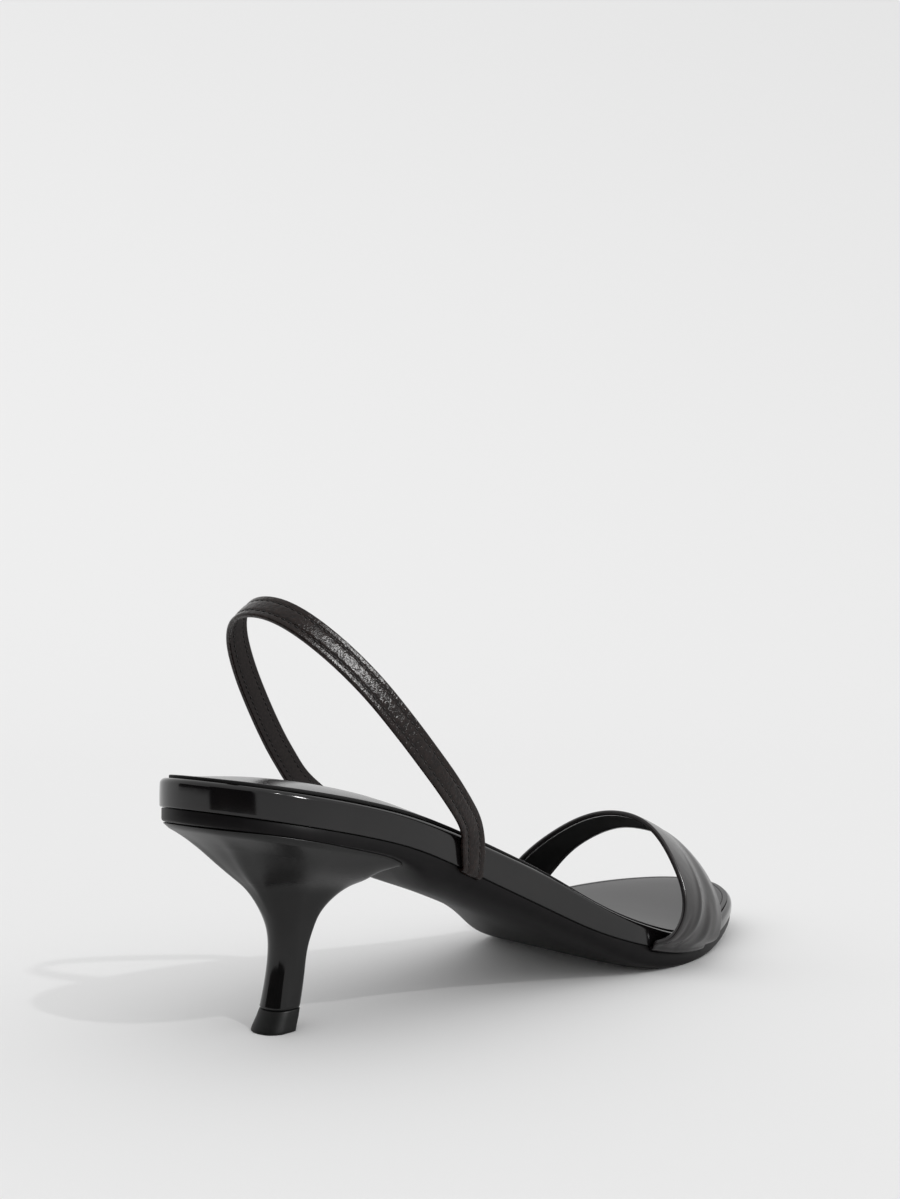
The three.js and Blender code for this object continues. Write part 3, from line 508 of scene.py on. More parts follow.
# Smooth calf-look leather with a polished finish: fine pores about 0.5 mm apart, and slow
# unevenness where the band was pulled over the last.
calf, tree, shader = new_material("smooth leather, polished finish", {
    "Base Color": linear("121011"), "Roughness": 0.23, "IOR": 1.5,
})
place, pores, bump = waves(tree, shader, 0.5, 0.012, 3.0, 0.6)
pull = add(tree, "ShaderNodeTexNoise", {"Scale": 1000 / 7.0, "Detail": 2.0},
           {"Vector": place.outputs["Object"]})
slow = add(tree, "ShaderNodeBump", {"Distance": 0.00012, "Strength": 1.0},
           {"Height": pull.outputs["Fac"], "Normal": bump.outputs["Normal"]})
tree.links.new(slow.outputs["Normal"], shader.inputs["Normal"])
shade(tree, shader, pull.outputs["Fac"], 0.3, 0.7, "0e0c0d", "191414")
toe_strap.data.materials.append(calf)

# Lining: thin black suede-like microfibre, matt, with a nap about 0.7 mm long.
lining, tree, shader = new_material("microfibre lining, napped", {
    "Base Color": linear("0a0909"), "Roughness": 0.85, "IOR": 1.4, "Specular IOR Level": 0.25,
})
place, nap, bump = waves(tree, shader, 0.7, 0.05, 4.0, 0.7)
shade(tree, shader, nap.outputs["Fac"], 0.3, 0.7, "070606", "100e0e")
toe_strap.data.materials.append(lining)
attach(toe_strap, "root")
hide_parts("toe_strap")

# Sling strap.
# A narrow strap of dark crinkled leather on a matt lining, stitched along both edges. It comes up
# from under the waist on the outer side, goes round behind the heel and down on the inner side.
SLING_WIDTH = 6.7
SLING_FOOT = 73.6
SLING_SPREAD = 30.0
SLING_RISE = 43.6
SLING_BACK = 22.0
SLING = np.array([
    # out, ahead, up, lean in degrees, wide, splay
    [0.972, 0.985, 0.037, 86, 1.06, 0.04], [1, 0.915, 0.112, 72, 1.03, 0.02],
    [1.01, 0.83, 0.19, 58, 1, 0], [1, 0.745, 0.271, 52, 1, 0], [0.975, 0.66, 0.351, 51, 1, 0],
    [0.94, 0.58, 0.432, 51, 1, 0], [0.895, 0.503, 0.51, 51, 1, 0], [0.843, 0.426, 0.59, 51, 1, 0],
    [0.776, 0.345, 0.67, 51, 1, 0], [0.686, 0.262, 0.75, 51, 1, 0], [0.572, 0.178, 0.828, 51, 1, 0],
    [0.42, 0.1, 0.901, 51, 1, 0], [0.225, 0.043, 0.954, 51, 1, 0], [0, 0.022, 0.971, 51, 1, 0],
])


def sling_rows(columns):
    """Middle surface of the sling: key rows across it at its feet, beside the footbed's edge, and
    along the loop, where each row leans to the toe by the table's angle."""
    t = np.linspace(-0.5, 0.5, columns)[None, :]
    foot = np.vstack([STRAP_END[:, :2], [[FACE, 4], [FACE + 0.1, 6.6]]])
    wide = SLING_WIDTH * (0.93 + 0.03 * np.maximum(foot[:, 1:2], 0))
    feet = [beside(side, SLING_FOOT + wide * t, foot[:, :1] + 0 * t, foot[:, 1:2] + 0 * t)
            for side in (1, -1)]
    rim = np.array([middle(SLING_FOOT) + half_width(SLING_FOOT)])
    low = pad_height(rim, np.array([SLING_FOOT]), 0)[0]
    high = pad_height(np.zeros(1), np.zeros(1), 0)[0] + SLING_RISE
    lean = np.radians(SLING[:, 3:4])
    off = SLING[:, 4:5] * SLING_WIDTH * t
    out = SLING[:, 0:1] * SLING_SPREAD + SLING[:, 5:6] * SLING_WIDTH * t
    station = SLING_BACK + (SLING_FOOT - SLING_BACK) * SLING[:, 1:2] + off * np.sin(lean)
    up = low + (high - low) * SLING[:, 2:3] + off * np.cos(lean)
    loop = np.stack([out, station - BALL_STATION, up], -1)
    inner = (loop * [-1, 1, 1])[2:][::-1][1:]
    return run_through(np.concatenate([feet[0], loop, inner, feet[1][::-1]]), 0.5)


SEW_INSET = 1.4  # rows of stitches from the strap's edges
SEW_PITCH = 2.0
SEW_LENGTH, SEW_WIDE, SEW_HIGH = 1.2, 0.5, 0.4
SEW_FIRST, SEW_LAST = 7.5, 7.0  # lengths left unsewn at the strap's two ends


def sling_relief(at, columns):
    """Height added to the face: padded a little between the two rows of stitches, with a narrow
    groove along each row."""
    place = np.abs(np.linspace(-0.5, 0.5, columns))[None, :] * SLING_WIDTH
    row = SLING_WIDTH / 2 - SEW_INSET
    pad = 0.14 * np.clip(1 - (place / row) ** 2, 0, 1)
    groove = -0.2 * np.exp(-((place - row) / 0.32) ** 2)
    return np.repeat(pad + groove, len(at), 0)


SLING_COLUMNS = 49
sling_at, sling_mid = sling_rows(SLING_COLUMNS)
relief = sling_relief(sling_at, SLING_COLUMNS)
rings = strap_rings(sling_mid, end_thickness(sling_at), relief, relief * 0.4)
sling = put_mesh("sling_strap_leather", rings, caps=True, skins=lining_skin(SLING_COLUMNS, 0))

# Crinkled patent finish: a film shrunk over soft leather, broken into facets about 1.3 mm wide
# that sparkle in the light; a brown cast shows through it.
crinkle, tree, shader = new_material("crinkled leather, lacquered", {
    "Base Color": linear("150f0e"), "Roughness": 0.16, "IOR": 1.45, "Specular IOR Level": 0.3,
})
place, facets, bump = waves(tree, shader, 1.1, 0.22, 3.0, 0.6)
shade(tree, shader, facets.outputs["Fac"], 0.35, 0.7, "0f0a09", "221815")
sling.data.materials.append(crinkle)

# Its lining: brown-grey microfibre, matt, with the same short nap.
brown_lining, tree, shader = new_material("brown microfibre lining, napped", {
    "Base Color": linear("211c1b"), "Roughness": 0.85, "IOR": 1.4, "Specular IOR Level": 0.3,
})
place, nap, bump = waves(tree, shader, 0.7, 0.06, 4.0, 0.7)
shade(tree, shader, nap.outputs["Fac"], 0.3, 0.7, "191514", "2b2423")
sling.data.materials.append(brown_lining)
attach(sling, "root")
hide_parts("sling_strap")

# Outsole.
# Black lacquered sole: thin under the heel seat, a rounded shank under the waist, flat under the
# ball, sprung at the toe. Its upper edge is pressed in where the straps' ends go under the footbed.
SEAT_EDGE = 3.7
SHANK_DEPTH = 5.0
OUTSOLE_INSET = 0.5
SOLE_JOINT = 0.08  # cement line between the footbed and the sole
RECESS = 1.25  # depth of the recesses for the straps' ends
EDGE_ROLL = 0.22  # radius of the sole's upper edge
UNDERSIDE = np.array([
    # at, seat, fore, shank, square
    [0, 1, 0, 0, 14], [0.15, 1, 0, 0, 14], [0.19, 1, 0, 0, 12], [0.22, 1, 0, 0.1, 8],
    [0.255, 1, 0, 1.1, 3.4], [0.3, 1, 0, 1.26, 2.6], [0.35, 0.9, 0.1, 1.14, 2.5],
    [0.4, 0.75, 0.25, 0.98, 2.5], [0.45, 0.5, 0.5, 0.86, 2.6], [0.5, 0.25, 0.75, 0.78, 2.8],
    [0.55, 0.1, 0.95, 0.72, 3.6], [0.6, 0, 1.1, 0.56, 7], [0.65, 0, 1.15, 0.24, 11],
    [0.7, 0, 1.15, 0, 13], [0.75, 0, 1.04, 0, 13], [0.8, 0, 0.9, 0, 13], [0.85, 0, 0.76, 0, 12],
    [0.9, 0, 0.66, 0, 10], [0.95, 0, 0.58, 0, 9], [1, 0, 0.54, 0, 8],
])
under_line = smooth_table(UNDERSIDE)


def sole_depth(station):
    """Depth of the outsole below the seam: the seat's, the forepart's and the shank's, added."""
    return (SEAT_EDGE * read(under_line, 0, station) + FORE_SOLE * read(under_line, 1, station)
            + SHANK_DEPTH * read(under_line, 2, station))


def pressed_edge(x, station):
    """Share, 0 to 1, by which the sole's upper edge gives way to a strap's end."""
    outer = np.where(x > middle(station), 1, 0)
    share = np.zeros_like(station)
    for side, start, end in ((1, TOE_STRAP_BACK, TOE_STRAP_BACK + TOE_STRAP_WIDTH),
                             (0, TOE_STRAP_BACK + TOE_STRAP_SLANT,
                              TOE_STRAP_BACK + TOE_STRAP_WIDTH + TOE_STRAP_SLANT),
                             (1, SLING_FOOT - 3.2, SLING_FOOT + 3.2),
                             (0, SLING_FOOT - 3.2, SLING_FOOT + 3.2)):
        inside = np.clip(np.minimum(station - start, end - station) / 0.8 + 1, 0, 1)
        share = np.where(outer == side, np.maximum(share, inside), share)
    return share


TOP_EDGE = (
    # inset, 1 where a recess lowers it, how far it lies below the top
    (5.5, 0, 0), (5.2, 1, 0), (0.9, 1, 0), (EDGE_ROLL, 1, 0.02), (0.07, 1, 0.09),
)


def outsole_rings():
    """From the middle of the hidden top out to the upper edge, then down and in along the
    underside, which is a rounded square across: straight down the side, round the corner and
    flat to the middle, where it closes, and never below the floor."""
    rings = []
    for share in (1, 0.6, 0.35, 0.2):
        plan = drawn_in(OUTSOLE_INSET + 0.3, share)
        rings.append(with_height(plan, seam_height(plan[:, 0], plan[:, 1]) - SOLE_JOINT))
    recess = RECESS * pressed_edge(edge[:, 0], edge[:, 1])
    for inset, down, lower in TOP_EDGE:
        plan = drawn_in(OUTSOLE_INSET + inset, 0)
        top = seam_height(plan[:, 0], plan[:, 1]) - SOLE_JOINT - lower
        rings.append(with_height(plan, top - recess * down))
    square = read(under_line, 3, edge[:, 1])
    for turn in np.concatenate([[0.0], np.linspace(0.02, np.pi / 2, 44)]):
        share = 1 - np.round(np.cos(turn), 12) ** (2 / square)
        bow = np.sin(turn) ** (2 / square)
        plan = edge - edge_out * OUTSOLE_INSET
        plan = plan + (spine - plan) * np.clip(share, 0, 1)[:, None]
        seam = seam_height(plan[:, 0], plan[:, 1])
        top = seam - SOLE_JOINT - EDGE_ROLL
        height = top + (seam - sole_depth(plan[:, 1]) - top) * bow
        rings.append(with_height(plan, np.maximum(np.minimum(height, top - recess), 0)))
    return np.array(rings)


outsole = put_mesh("outsole_lacquered", outsole_rings())
# Sole lacquer over moulded rubber: satin and a little flowed, with brush waves about 5 mm long.
lacquer, tree, shader = new_material("sole lacquer, brushed on", {
    "Base Color": linear("0b0a0b"), "Roughness": 0.42, "IOR": 1.48, "Specular IOR Level": 0.12,
})
place, brush, bump = waves(tree, shader, 5.0, 0.03)
shade(tree, shader, brush.outputs["Fac"], 0.3, 0.7, "090809", "0f0d0e")
outsole.data.materials.append(lacquer)
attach(outsole, "root")
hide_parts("outsole")

# Heel.
# Moulded ABS, sprayed black and lacquered. A slim stem grows out of the tip and flares into a
# seat that takes the outline of the footbed; the front face sweeps back under the waist.
HEEL_INSET = 1.0
HEEL_LIP = 30.0
HEEL_BACK_ROUND = 2.15
BREAST_STATION = 52.0
STEM_WIDTH = 9.1
TIP_HEIGHT = 5.3
SEAT_JOINT = 0.06  # between the outsole and the heel's seat
TIP_JOINT = 0.12  # between the tip and the stem
LID_EASE = 0.5  # radius by which the seat's sides blend into the flare
FULL_BACK, CREASE, FLAT_SIDE = 0.024, 0.042, 0.08  # swell of the back, of its soft edges, side's flatness
HEEL_SECTIONS = np.array([
    # at, back, backUp, front, frontUp, flare, stem, square
    [0.0, 0.038, 0.985, 1.025, 0.8, 1.0, 1.0, 16], [0.1, 0.178, 0.905, 1.0, 0.732, 0.79, 1.0, 7],
    [0.2, 0.265, 0.825, 0.992, 0.68, 0.59, 1.0, 5], [0.32, 0.37, 0.725, 0.965, 0.635, 0.29, 1.0, 4],
    [0.42, 0.445, 0.655, 0.885, 0.585, 0.145, 1.0, 4], [0.51, 0.51, 0.56, 0.812, 0.52, 0.065, 1.0, 4],
    [0.6, 0.556, 0.47, 0.775, 0.453, 0.03, 1.0, 4], [0.7, 0.57, 0.372, 0.741, 0.372, 0.01, 1.0, 4],
    [0.82, 0.557, 0.26, 0.724, 0.26, 0, 1.0, 4], [1.0, 0.524, 0.104, 0.69, 0.104, 0, 1.08, 4],
])


def under_sole(x, station):
    """Height just clear of the outsole's underside: the rounded square that it is across."""
    half = np.maximum(half_width(station) - OUTSOLE_INSET, 0.5)
    out = np.clip(np.abs(x - middle(station)) / half, 0, 0.985)
    square = read(under_line, 3, station)
    bow = (1 - out ** square) ** (1 / square)
    top = seam_height(x, station) - GAP
    return top + (seam_height(x, station) - sole_depth(station) - top) * bow - SEAT_JOINT


heel_line = smooth_table(HEEL_SECTIONS, 1.0, 0.03)
SIDE_ANGLE = np.radians(57)  # middle of the heel's flat side, from the middle of its back
CREASE_ANGLE = np.radians(24)  # soft edge between its back and its side, likewise


def read_along(line, run, want):
    """A line's points, which stand at the values run, read at the values wanted."""
    return np.stack([np.interp(want, run, column) for column in line.T], 1)


def heel_ring(back, front, half, square, count, shaped=0.0, lean=0.0):
    """Closed ring, an ellipse-like curve at the back and a squarer one in front, with its points
    spread half by angle and half by length. Where shaped is 1, the sides are flattened and meet
    the back in a soft edge."""
    ring = []
    for start in (0, np.pi):
        angle = start + np.linspace(0, np.pi, 600)
        c, s = np.cos(angle), np.sin(angle)
        power = 2 / np.where(s > 0, square, HEEL_BACK_ROUND)
        off = np.abs(angle - 1.5 * np.pi)
        crease = np.exp(-((off - CREASE_ANGLE + lean) / np.radians(7)) ** 2)
        flat = np.exp(-((off - SIDE_ANGLE) / np.radians(22)) ** 2)
        grow = 1 + shaped * (FULL_BACK + CREASE * crease - FLAT_SIDE * flat) * np.clip(-3 * s, 0, 1)
        across_part = half * grow * np.sign(c) * np.abs(c) ** power
        ahead_part = (front - back) / 2 * grow * np.sign(s) * np.abs(s) ** power
        spot = np.stack([across_part, (back + front) / 2 + ahead_part], 1)
        run = length_along(spot)
        share = (run / run[-1] + np.linspace(0, 1, 600)) / 2
        ring.append(read_along(spot, share, np.linspace(0, 1, count // 2, endpoint=False)))
    return np.vstack(ring)


def heel_rings(count=144):
    """From the middle of the seat out to its rim, then down the flare to the stem and the tip.
    Each section lies in a plane that leans with the seat and levels out on the way down."""
    rise = SEAT_RISE + FORE_SOLE - SEAT_EDGE
    seat_half = BALL_WIDTH * read(outline_line, 0, HEEL_ROUND * LENGTH) - HEEL_INSET

    def section(t, widen=0.0):
        back, back_up, front, front_up, flare, stem, square = [
            np.interp(t, np.linspace(0, 1, len(heel_line)), column) for column in heel_line.T]
        stem_half = STEM_WIDTH / 2 * stem
        half = stem_half + (seat_half - stem_half) * flare + widen
        shaped = np.clip(t / 0.12, 0, 1) * np.clip((0.55 - t) / 0.2, 0, 1)
        ring = heel_ring(BREAST_STATION * back - widen, BREAST_STATION * front + widen, half, square,
                         count, shaped, np.radians(20) * t)
        x, station = ring[:, 0] + middle(ring[:, 1]) * (1 - t), ring[:, 1]
        ramp = (station - BREAST_STATION * back) / (BREAST_STATION * (front - back))
        plane = rise * (back_up + (front_up - back_up) * ramp)
        lid = under_sole(x, station) - HEEL_LIP * t
        least = np.minimum(plane, lid)
        over = np.exp((least - plane) / LID_EASE) + np.exp((least - lid) / LID_EASE)
        soft = least - LID_EASE * np.log(over)
        fade = np.clip((0.36 - t) / 0.3, 0, 1)
        return x, station, plane + (soft - plane) * fade * fade * (3 - 2 * fade)

    rings = []
    x, station, _ = section(0)
    centre = BREAST_STATION / 2
    for scale in (0.02, 0.25, 0.5, 0.75, 0.92, 0.985):
        px, ps = x * scale, centre + (station - centre) * scale
        rings.append(with_height(np.stack([px, ps], 1), under_sole(px, ps)))
    rings.append(with_height(np.stack([x, station], 1), under_sole(x, station) - 0.02))
    rings.append(with_height(np.stack([x, station], 1), under_sole(x, station) - 0.2))
    for t in np.concatenate([np.linspace(0.02, 0.3, 30), np.linspace(0.3, 0.985, 70)[1:]]):
        x, station, up = section(t)
        rings.append(with_height(np.stack([x, station], 1), up))
    foot = TIP_HEIGHT + TIP_JOINT
    for inset, lift in ((0.0, 0.5), (0.08, 0.18), (0.3, 0.0)):
        x, station, _ = section(1, -inset)
        rings.append(with_height(np.stack([x, station], 1), 0 * x + foot + lift))
    mid = rings[-1].mean(0)
    for scale in (0.5, 0.02):
        rings.append(mid + (rings[len(rings) - 1] - mid) * scale)
    return np.array(rings)


heel = put_mesh("heel_lacquered", heel_rings(), caps=True)
# Lacquered ABS: injection moulded and sprayed, so the stem mirrors nearly as clearly as the patent,
# with a faint orange peel about 2.5 mm across. The spray falls drier under the overhanging seat.
abs_gloss, tree, shader = new_material("ABS, sprayed and lacquered", {
    "Base Color": linear("0a0a0a"), "Roughness": 0.1, "IOR": 1.45, "Specular IOR Level": 0.42,
})
place, peel, bump = waves(tree, shader, 2.5, 0.006)
shade(tree, shader, peel.outputs["Fac"], 0.3, 0.7, "0a0a0a", "0e0d0d")
spot = add(tree, "ShaderNodeSeparateXYZ", {}, {"Vector": place.outputs["Object"]})
DRY_SPRAY = {"From Min": 0.026, "From Max": 0.042, "To Min": 0.1, "To Max": 0.34}  # metres, roughness
dry = add(tree, "ShaderNodeMapRange", DRY_SPRAY, {"Value": spot.outputs["Z"]})
tree.links.new(dry.outputs["Result"], shader.inputs["Roughness"])
heel.data.materials.append(abs_gloss)
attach(heel, "root")
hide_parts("heel")

# Heel tip.
# The top piece: hard black rubber, moulded with a dowel that is driven up into the stem. It
# spreads a little towards the floor and its edge is buffed.
TIP_WIDTH = 10.9
TIP_LENGTH = 9.3
TIP_STATION = 29.4
TIP_SQUARE = 5
TIP_PROFILE = (
    # scale, share of the way to the lower outline, height
    (0.02, 0, TIP_HEIGHT), (0.95, 0, TIP_HEIGHT), (0.995, 0, TIP_HEIGHT - 0.1),
    (1.0, 0.05, TIP_HEIGHT - 0.3), (1.0, 0.35, 3.4), (1.0, 0.7, 1.9), (1.0, 0.93, 0.8),
    (1.0, 1.0, 0.35), (0.99, 1, 0.1), (0.96, 1, 0), (0.02, 1, 0),
)


def tip_rings(count=120):
    """From the middle of its top down the spreading side to the worn lower edge and the sole."""
    _, back, _, front, _, _, stem, square = HEEL_SECTIONS[-1]
    upper = heel_ring(BREAST_STATION * back, BREAST_STATION * front, STEM_WIDTH / 2 * stem, square, count)
    half = TIP_LENGTH / 2
    lower = heel_ring(TIP_STATION - half, TIP_STATION + half, TIP_WIDTH / 2, TIP_SQUARE, count)
    rings = []
    for grow, share, up in TIP_PROFILE:
        ring = upper + (lower - upper) * share
        mid = ring.mean(0)
        ring = mid + (ring - mid) * grow
        rings.append(with_height(ring, np.full(count, float(up))))
    return np.array(rings)


tip = put_mesh("heel_tip_rubber", tip_rings(), caps=True)
# Hard rubber, buffed: half matt, with fine grit marks about 0.4 mm wide.
rubber, tree, shader = new_material("hard rubber, buffed", {
    "Base Color": linear("090a09"), "Roughness": 0.45, "IOR": 1.45, "Specular IOR Level": 0.25,
})
place, grit, bump = waves(tree, shader, 0.4, 0.02, 4.0, 0.7)
shade(tree, shader, grit.outputs["Fac"], 0.3, 0.7, "070807", "0d0e0d")
tip.data.materials.append(rubber)
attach(tip, "root")
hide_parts("heel_tip")

# Insole sock.
# Thin black leather glued over the padded footbed, its cut edge about 2 mm in from the rim.
SOCK_INSET = 2.2
SOCK_TOP = 1.1
SOCK_SEAM = 1.7  # row of stitches from the cut edge
SOCK_PITCH = 2.4
SOCK_STITCH = (1.5, 0.34, 0.3)  # length, width and height of one stitch
UNDER_ROWS = 7  # rows of faces underneath the sock and up its cut edge
sock_inset = SOCK_INSET - 1.0 * np.clip((edge[:, 1] - 185) / 35, 0, 1)[:, None]
sock_top = np.interp(edge[:, 1], [60, 120, 185, 220], [SOCK_TOP, 0.65, 0.6, 0.35])


def sock_ring(inset, share, lift):
    """One ring of the sock: the outline moved in to the cut edge and by inset, then a share of the
    way to the middle line, lifted off the crowned pad."""
    ring = edge - edge_out * (sock_inset + inset)
    plan = ring + (spine - ring) * share
    return with_height(plan, pad_height(plan[:, 0], plan[:, 1], 1 - (1 - share) * 0.97) + lift)


def sock_rings():
    """From the middle underneath out to the cut edge, over it and in along the top, which dips
    along the row of stitches."""
    rings = [sock_ring(0.1, share, 0.1) for share in (1, 0.6, 0.3, 0.1, 0)]
    rings += [sock_ring(inset, 0, 0.1 + (sock_top - 0.1) * share)
              for inset, share in ((0, 0.15), (0, 0.7), (0.08, 0.88), (0.25, 0.98))]
    for inset in (0.5, 0.9, 1.2, 1.4, 1.55, 1.7, 1.85, 2.0, 2.2, 2.6, 3.2):
        dip = 0.2 * np.exp(-((inset - SOCK_SEAM) / 0.25) ** 2)
        rings.append(sock_ring(inset, 0, sock_top - dip))
    rings += [sock_ring(3.2, share, sock_top) for share in (0.03, 0.07, 0.13, 0.25, 0.4, 0.6, 0.8, 1)]
    return np.array(rings)


rings = sock_rings()
skins = (np.arange(len(rings) - 1) < UNDER_ROWS).astype(int)[:, None]
sock = put_mesh("insole_sock_leather", rings, skins=skins)
# Smooth lining leather with a light finish: pores about 0.6 mm apart, half gloss, and shinier at
# the seat, where it was pressed down in the last.
sock_skin, tree, shader = new_material("smooth sock leather, half gloss", {
    "Base Color": linear("171617"), "Roughness": 0.33, "IOR": 1.5,
})
place, pores, bump = waves(tree, shader, 0.6, 0.015, 3.0, 0.6)
shade(tree, shader, pores.outputs["Fac"], 0.3, 0.7, "151415", "211f20")
spot = add(tree, "ShaderNodeSeparateXYZ", {}, {"Vector": place.outputs["Object"]})
PRESSED_SEAT = {"From Min": -0.1, "From Max": 0.0, "To Min": 0.2, "To Max": 0.38}  # metres, roughness
pressed = add(tree, "ShaderNodeMapRange", PRESSED_SEAT, {"Value": spot.outputs["Y"]})
tree.links.new(pressed.outputs["Result"], shader.inputs["Roughness"])
sock.data.materials.append(sock_skin)

# Cut edge: the leather's raw side, inked black and matt.
cut_edge, tree, shader = new_material("cut leather edge, inked", {
    "Base Color": linear("080708"), "Roughness": 0.75, "IOR": 1.4, "Specular IOR Level": 0.3,
})
place, fibre, bump = waves(tree, shader, 0.3, 0.03, 3.0, 0.6)
shade(tree, shader, fibre.outputs["Fac"], 0.3, 0.7, "060506", "0d0c0c")
sock.data.materials.append(cut_edge)
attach(sock, "root")
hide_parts("insole_sock")

# Stitches.
# Dark polyester thread, sewn by machine along both edges of the sling and round the sock.


def stitches(name, centre, along, face, length, wide, high):
    """One small rounded bead for each stitch: a sphere grid stretched along the seam, across it
    and out of the face, and laid at each centre."""
    around = np.linspace(0, 2 * np.pi, 8, endpoint=False)
    down = np.linspace(0, np.pi, 7)
    a = np.cos(down)[:, None] + 0 * around
    b = np.sin(down)[:, None] ** 0.6 * np.cos(around)
    c = np.sin(down)[:, None] ** 0.6 * np.sin(around)
    side = np.cross(face, along)
    shape = (a[None, ..., None] * along[:, None, None] * length / 2
             + b[None, ..., None] * side[:, None, None] * wide / 2
             + c[None, ..., None] * face[:, None, None] * high / 2)
    co = (centre[:, None, None] + shape) * 0.001
    n, rows_, cols = co.shape[:3]
    i = np.arange(rows_ - 1)[:, None] * cols
    j = np.arange(cols)[None, :]
    k = (j + 1) % cols
    one = np.stack([i + j, i + cols + j, i + cols + k, i + k], -1).reshape(-1, 4)
    faces = (one[None] + (np.arange(n) * rows_ * cols)[:, None, None]).reshape(-1, 4)
    mesh = bpy.data.meshes.new(name)
    mesh.from_pydata(co.reshape(-1, 3).tolist(), [], faces.tolist())
    return finish_mesh(name, mesh)


def sling_stitch_places():
    """Centres and directions of the stitches: even steps along both faces of the sling, on the
    two columns that lie one inset in from its edges, from foot to foot."""
    face, along, _ = strap_frame(sling_mid)
    found = []
    for out, share in ((1, 1), (-1, 0.4)):
        high = end_thickness(sling_at)[:, None] / 2 + share * sling_relief(sling_at, SLING_COLUMNS)
        skin = sling_mid + out * face * high[..., None]
        for sign in (-1, 1):
            column = (SLING_COLUMNS - 1) * (0.5 + sign * (0.5 - SEW_INSET / SLING_WIDTH))
            low, part = int(column), column - int(column)
            line = [grid[:, low] * (1 - part) + grid[:, low + 1] * part
                    for grid in (skin, along, out * face)]
            run = length_along(line[0])
            want = np.arange(SEW_FIRST, run[-1] - SEW_LAST, SEW_PITCH)
            found.append([read_along(values, run, want) for values in line])
    centre, along, face = [np.vstack([row[k] for row in found]) for k in range(3)]
    return centre + face * 0.05, along, face


def sock_stitch_places():
    """Centres and directions of the stitches: even steps round the sock, one seam's width in from
    its cut edge, facing up."""
    line = sock_ring(SOCK_SEAM, 0, sock_top - 0.16)
    run = length_along(line)
    want = np.linspace(0, run[-1], int(run[-1] / SOCK_PITCH))
    centre, ahead = read_along(line, run, want), read_along(line, run, want + 0.3)
    along = ahead - centre
    along[-1] = along[-2]
    along /= np.linalg.norm(along, axis=1)[:, None]
    side = np.cross(along, [0, 0, 1.0])
    face = np.cross(side, along)
    return centre, along, face / np.linalg.norm(face, axis=1)[:, None]


# Bonded polyester thread, about 0.35 mm thick, black-brown and slightly shiny.
thread, tree, shader = new_material("bonded polyester thread", {
    "Base Color": linear("070505"), "Roughness": 0.5, "IOR": 1.45, "Specular IOR Level": 0.3,
})
place, twist, bump = waves(tree, shader, 0.25, 0.03, 2.0, 0.6)
shade(tree, shader, twist.outputs["Fac"], 0.3, 0.7, "050303", "0e0a09")
centre, along, face = sling_stitch_places()
sling_sewing = stitches("sling_stitches", centre, along, face, SEW_LENGTH, SEW_WIDE, SEW_HIGH)
sling_sewing.data.materials.append(thread)
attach(sling_sewing, "root")

centre, along, face = sock_stitch_places()
sock_sewing = stitches("sock_stitches", centre, along, face, *SOCK_STITCH)
sock_sewing.data.materials.append(thread)
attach(sock_sewing, "root")

# Studio.
# A pale floor that curves up all round into a backdrop, soft light from everywhere, and one small
# key light high on the outer side, which throws the shadow across the floor behind the heel.


COVE_START, COVE_RADIUS, WALL_TOP = 900, 1600, 3400


def backdrop_rings():
    """Rings about the shoe: flat to COVE_START, then up on a quarter circle to the wall's top."""
    angle = np.linspace(0, 2 * np.pi, 128, endpoint=False)
    climb = np.linspace(0, np.pi / 2, 24)
    radius = np.concatenate([[1, 200, 500], COVE_START + COVE_RADIUS * np.sin(climb),
                             [COVE_START + COVE_RADIUS]])
    height = np.concatenate([[0, 0, 0], COVE_RADIUS * (1 - np.cos(climb)), [WALL_TOP]])
    return np.stack([radius[:, None] * np.cos(angle), radius[:, None] * np.sin(angle),
                     height[:, None] + 0 * angle], -1)


floor = put_mesh("studio_floor", backdrop_rings())
paper, tree, shader = new_material("studio paper", {
    "Base Color": linear("eaeaea"), "Roughness": 0.9, "IOR": 1.4, "Specular IOR Level": 0.1,
})
floor.data.materials.append(paper)
floor.visible_shadow = False
floor.visible_diffuse = False

world = bpy.data.worlds.new("studio")
bpy.context.scene.world = world
world.use_nodes = True
world.node_tree.nodes["Background"].inputs["Color"].default_value = (1, 1, 1, 1)
world.node_tree.nodes["Background"].inputs["Strength"].default_value = 0.925

key = bpy.data.lights.new("key", "SUN")
key.energy = 0.38
key.angle = np.radians(1.8)
KEY_TILT = np.radians(43)  # from straight above towards the outer side
key_object = bpy.data.objects.new("key", key)
bpy.context.scene.collection.objects.link(key_object)
key_object.matrix_world = Matrix.Translation((1.1, 0, 1.2)) @ Matrix.Rotation(KEY_TILT, 4, "Y")

# Two dark flags stand to the camera's left, and are seen in gloss alone.
cloth, tree, shader = new_material("studio flag, black cloth", {
    "Base Color": linear("2a2a2a"), "Roughness": 0.95, "IOR": 1.4, "Specular IOR Level": 0.1,
})
FLAGS = (
    # name, first and last direction in degrees, distance from the heel, height
    ("flag_near", -91, -40, 340, 240), ("flag_far", -140, -86, 1000, 380),
)
FLAG_CENTRE = (0, -130, 0)


def only_in_gloss(piece):
    """Hides a studio piece from every kind of ray but the glossy one."""
    for kind in ("camera", "diffuse", "shadow", "transmission", "volume_scatter"):
        setattr(piece, "visible_" + kind, False)


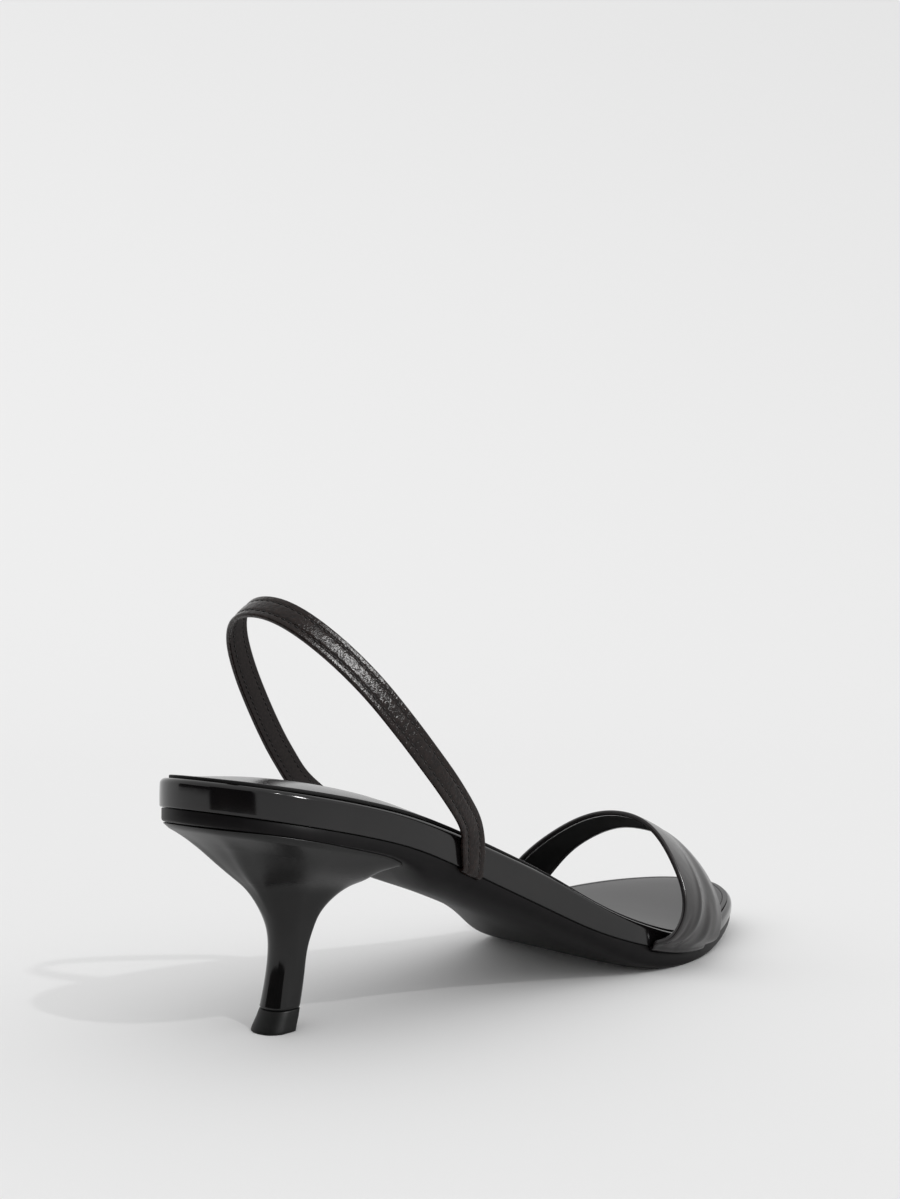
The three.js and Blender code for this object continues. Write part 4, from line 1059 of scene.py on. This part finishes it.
for name, first, last, away, tall in FLAGS:
    around = np.radians(np.linspace(first, last, 24))
    sheet = np.stack([np.cos(around), np.sin(around), 0 * around], 1)
    loop = np.vstack([sheet * away, sheet[::-1] * (away + 5)]) + FLAG_CENTRE
    flag = put_mesh(name, np.array([loop, loop + [0, 0, tall]]))
    flag.data.materials.append(cloth)
    only_in_gloss(flag)

# A softbox beside the key, seen in gloss alone, lights the rim and the crinkle of the sling.
panel, tree, shader = new_material("softbox cloth, lit", {
    "Base Color": (0, 0, 0, 1), "Emission Color": (1, 1, 1, 1), "Emission Strength": 58.0,
})
BOX_TURN, BOX_TILT = np.radians([13.0, 23.0]), np.radians([25.0, 39.0])
BOX_AWAY, BOX_COUNT = 900, 12  # distance from the sling, points along each side
BOX_CENTRE = (20, -124, 92)  # the place on the sling that it lights
turned, tilted = np.meshgrid(np.linspace(*BOX_TURN, BOX_COUNT), np.linspace(*BOX_TILT, BOX_COUNT))
sheet = np.stack([np.cos(turned) * np.cos(tilted), np.sin(turned) * np.cos(tilted), np.sin(tilted)], -1)
loop = np.concatenate([sheet * BOX_AWAY, sheet[:, ::-1] * (BOX_AWAY + 5)], 1) + BOX_CENTRE
softbox = put_mesh("softbox", loop)
softbox.data.materials.append(panel)
only_in_gloss(softbox)

# Camera.
# Where the photograph was taken from: low behind the outer side of the heel, looking a little up.
CAMERA = (0.25651, -0.34258, 0.09021)
HEADING, PITCH = np.radians(42.5), np.radians(3.08)
ahead = np.array([-np.sin(HEADING) * np.cos(PITCH), np.cos(HEADING) * np.cos(PITCH), np.sin(PITCH)])
right = np.array([np.cos(HEADING), np.sin(HEADING), 0])
turn = Matrix(np.stack([right, np.cross(right, ahead), -ahead], 1).tolist()).to_4x4()
lens = bpy.data.cameras.new("camera")
FOCAL_PIXELS, FRAME_HEIGHT = 1300, 1199  # focal length and height of the photograph, in pixels
lens.sensor_width = 36
lens.lens = FOCAL_PIXELS / FRAME_HEIGHT * lens.sensor_width
camera = bpy.data.objects.new("camera", lens)
bpy.context.scene.collection.objects.link(camera)
camera.matrix_world = Matrix.Translation(CAMERA) @ turn
bpy.context.scene.camera = camera
bpy.context.scene.view_settings.view_transform = "Standard"
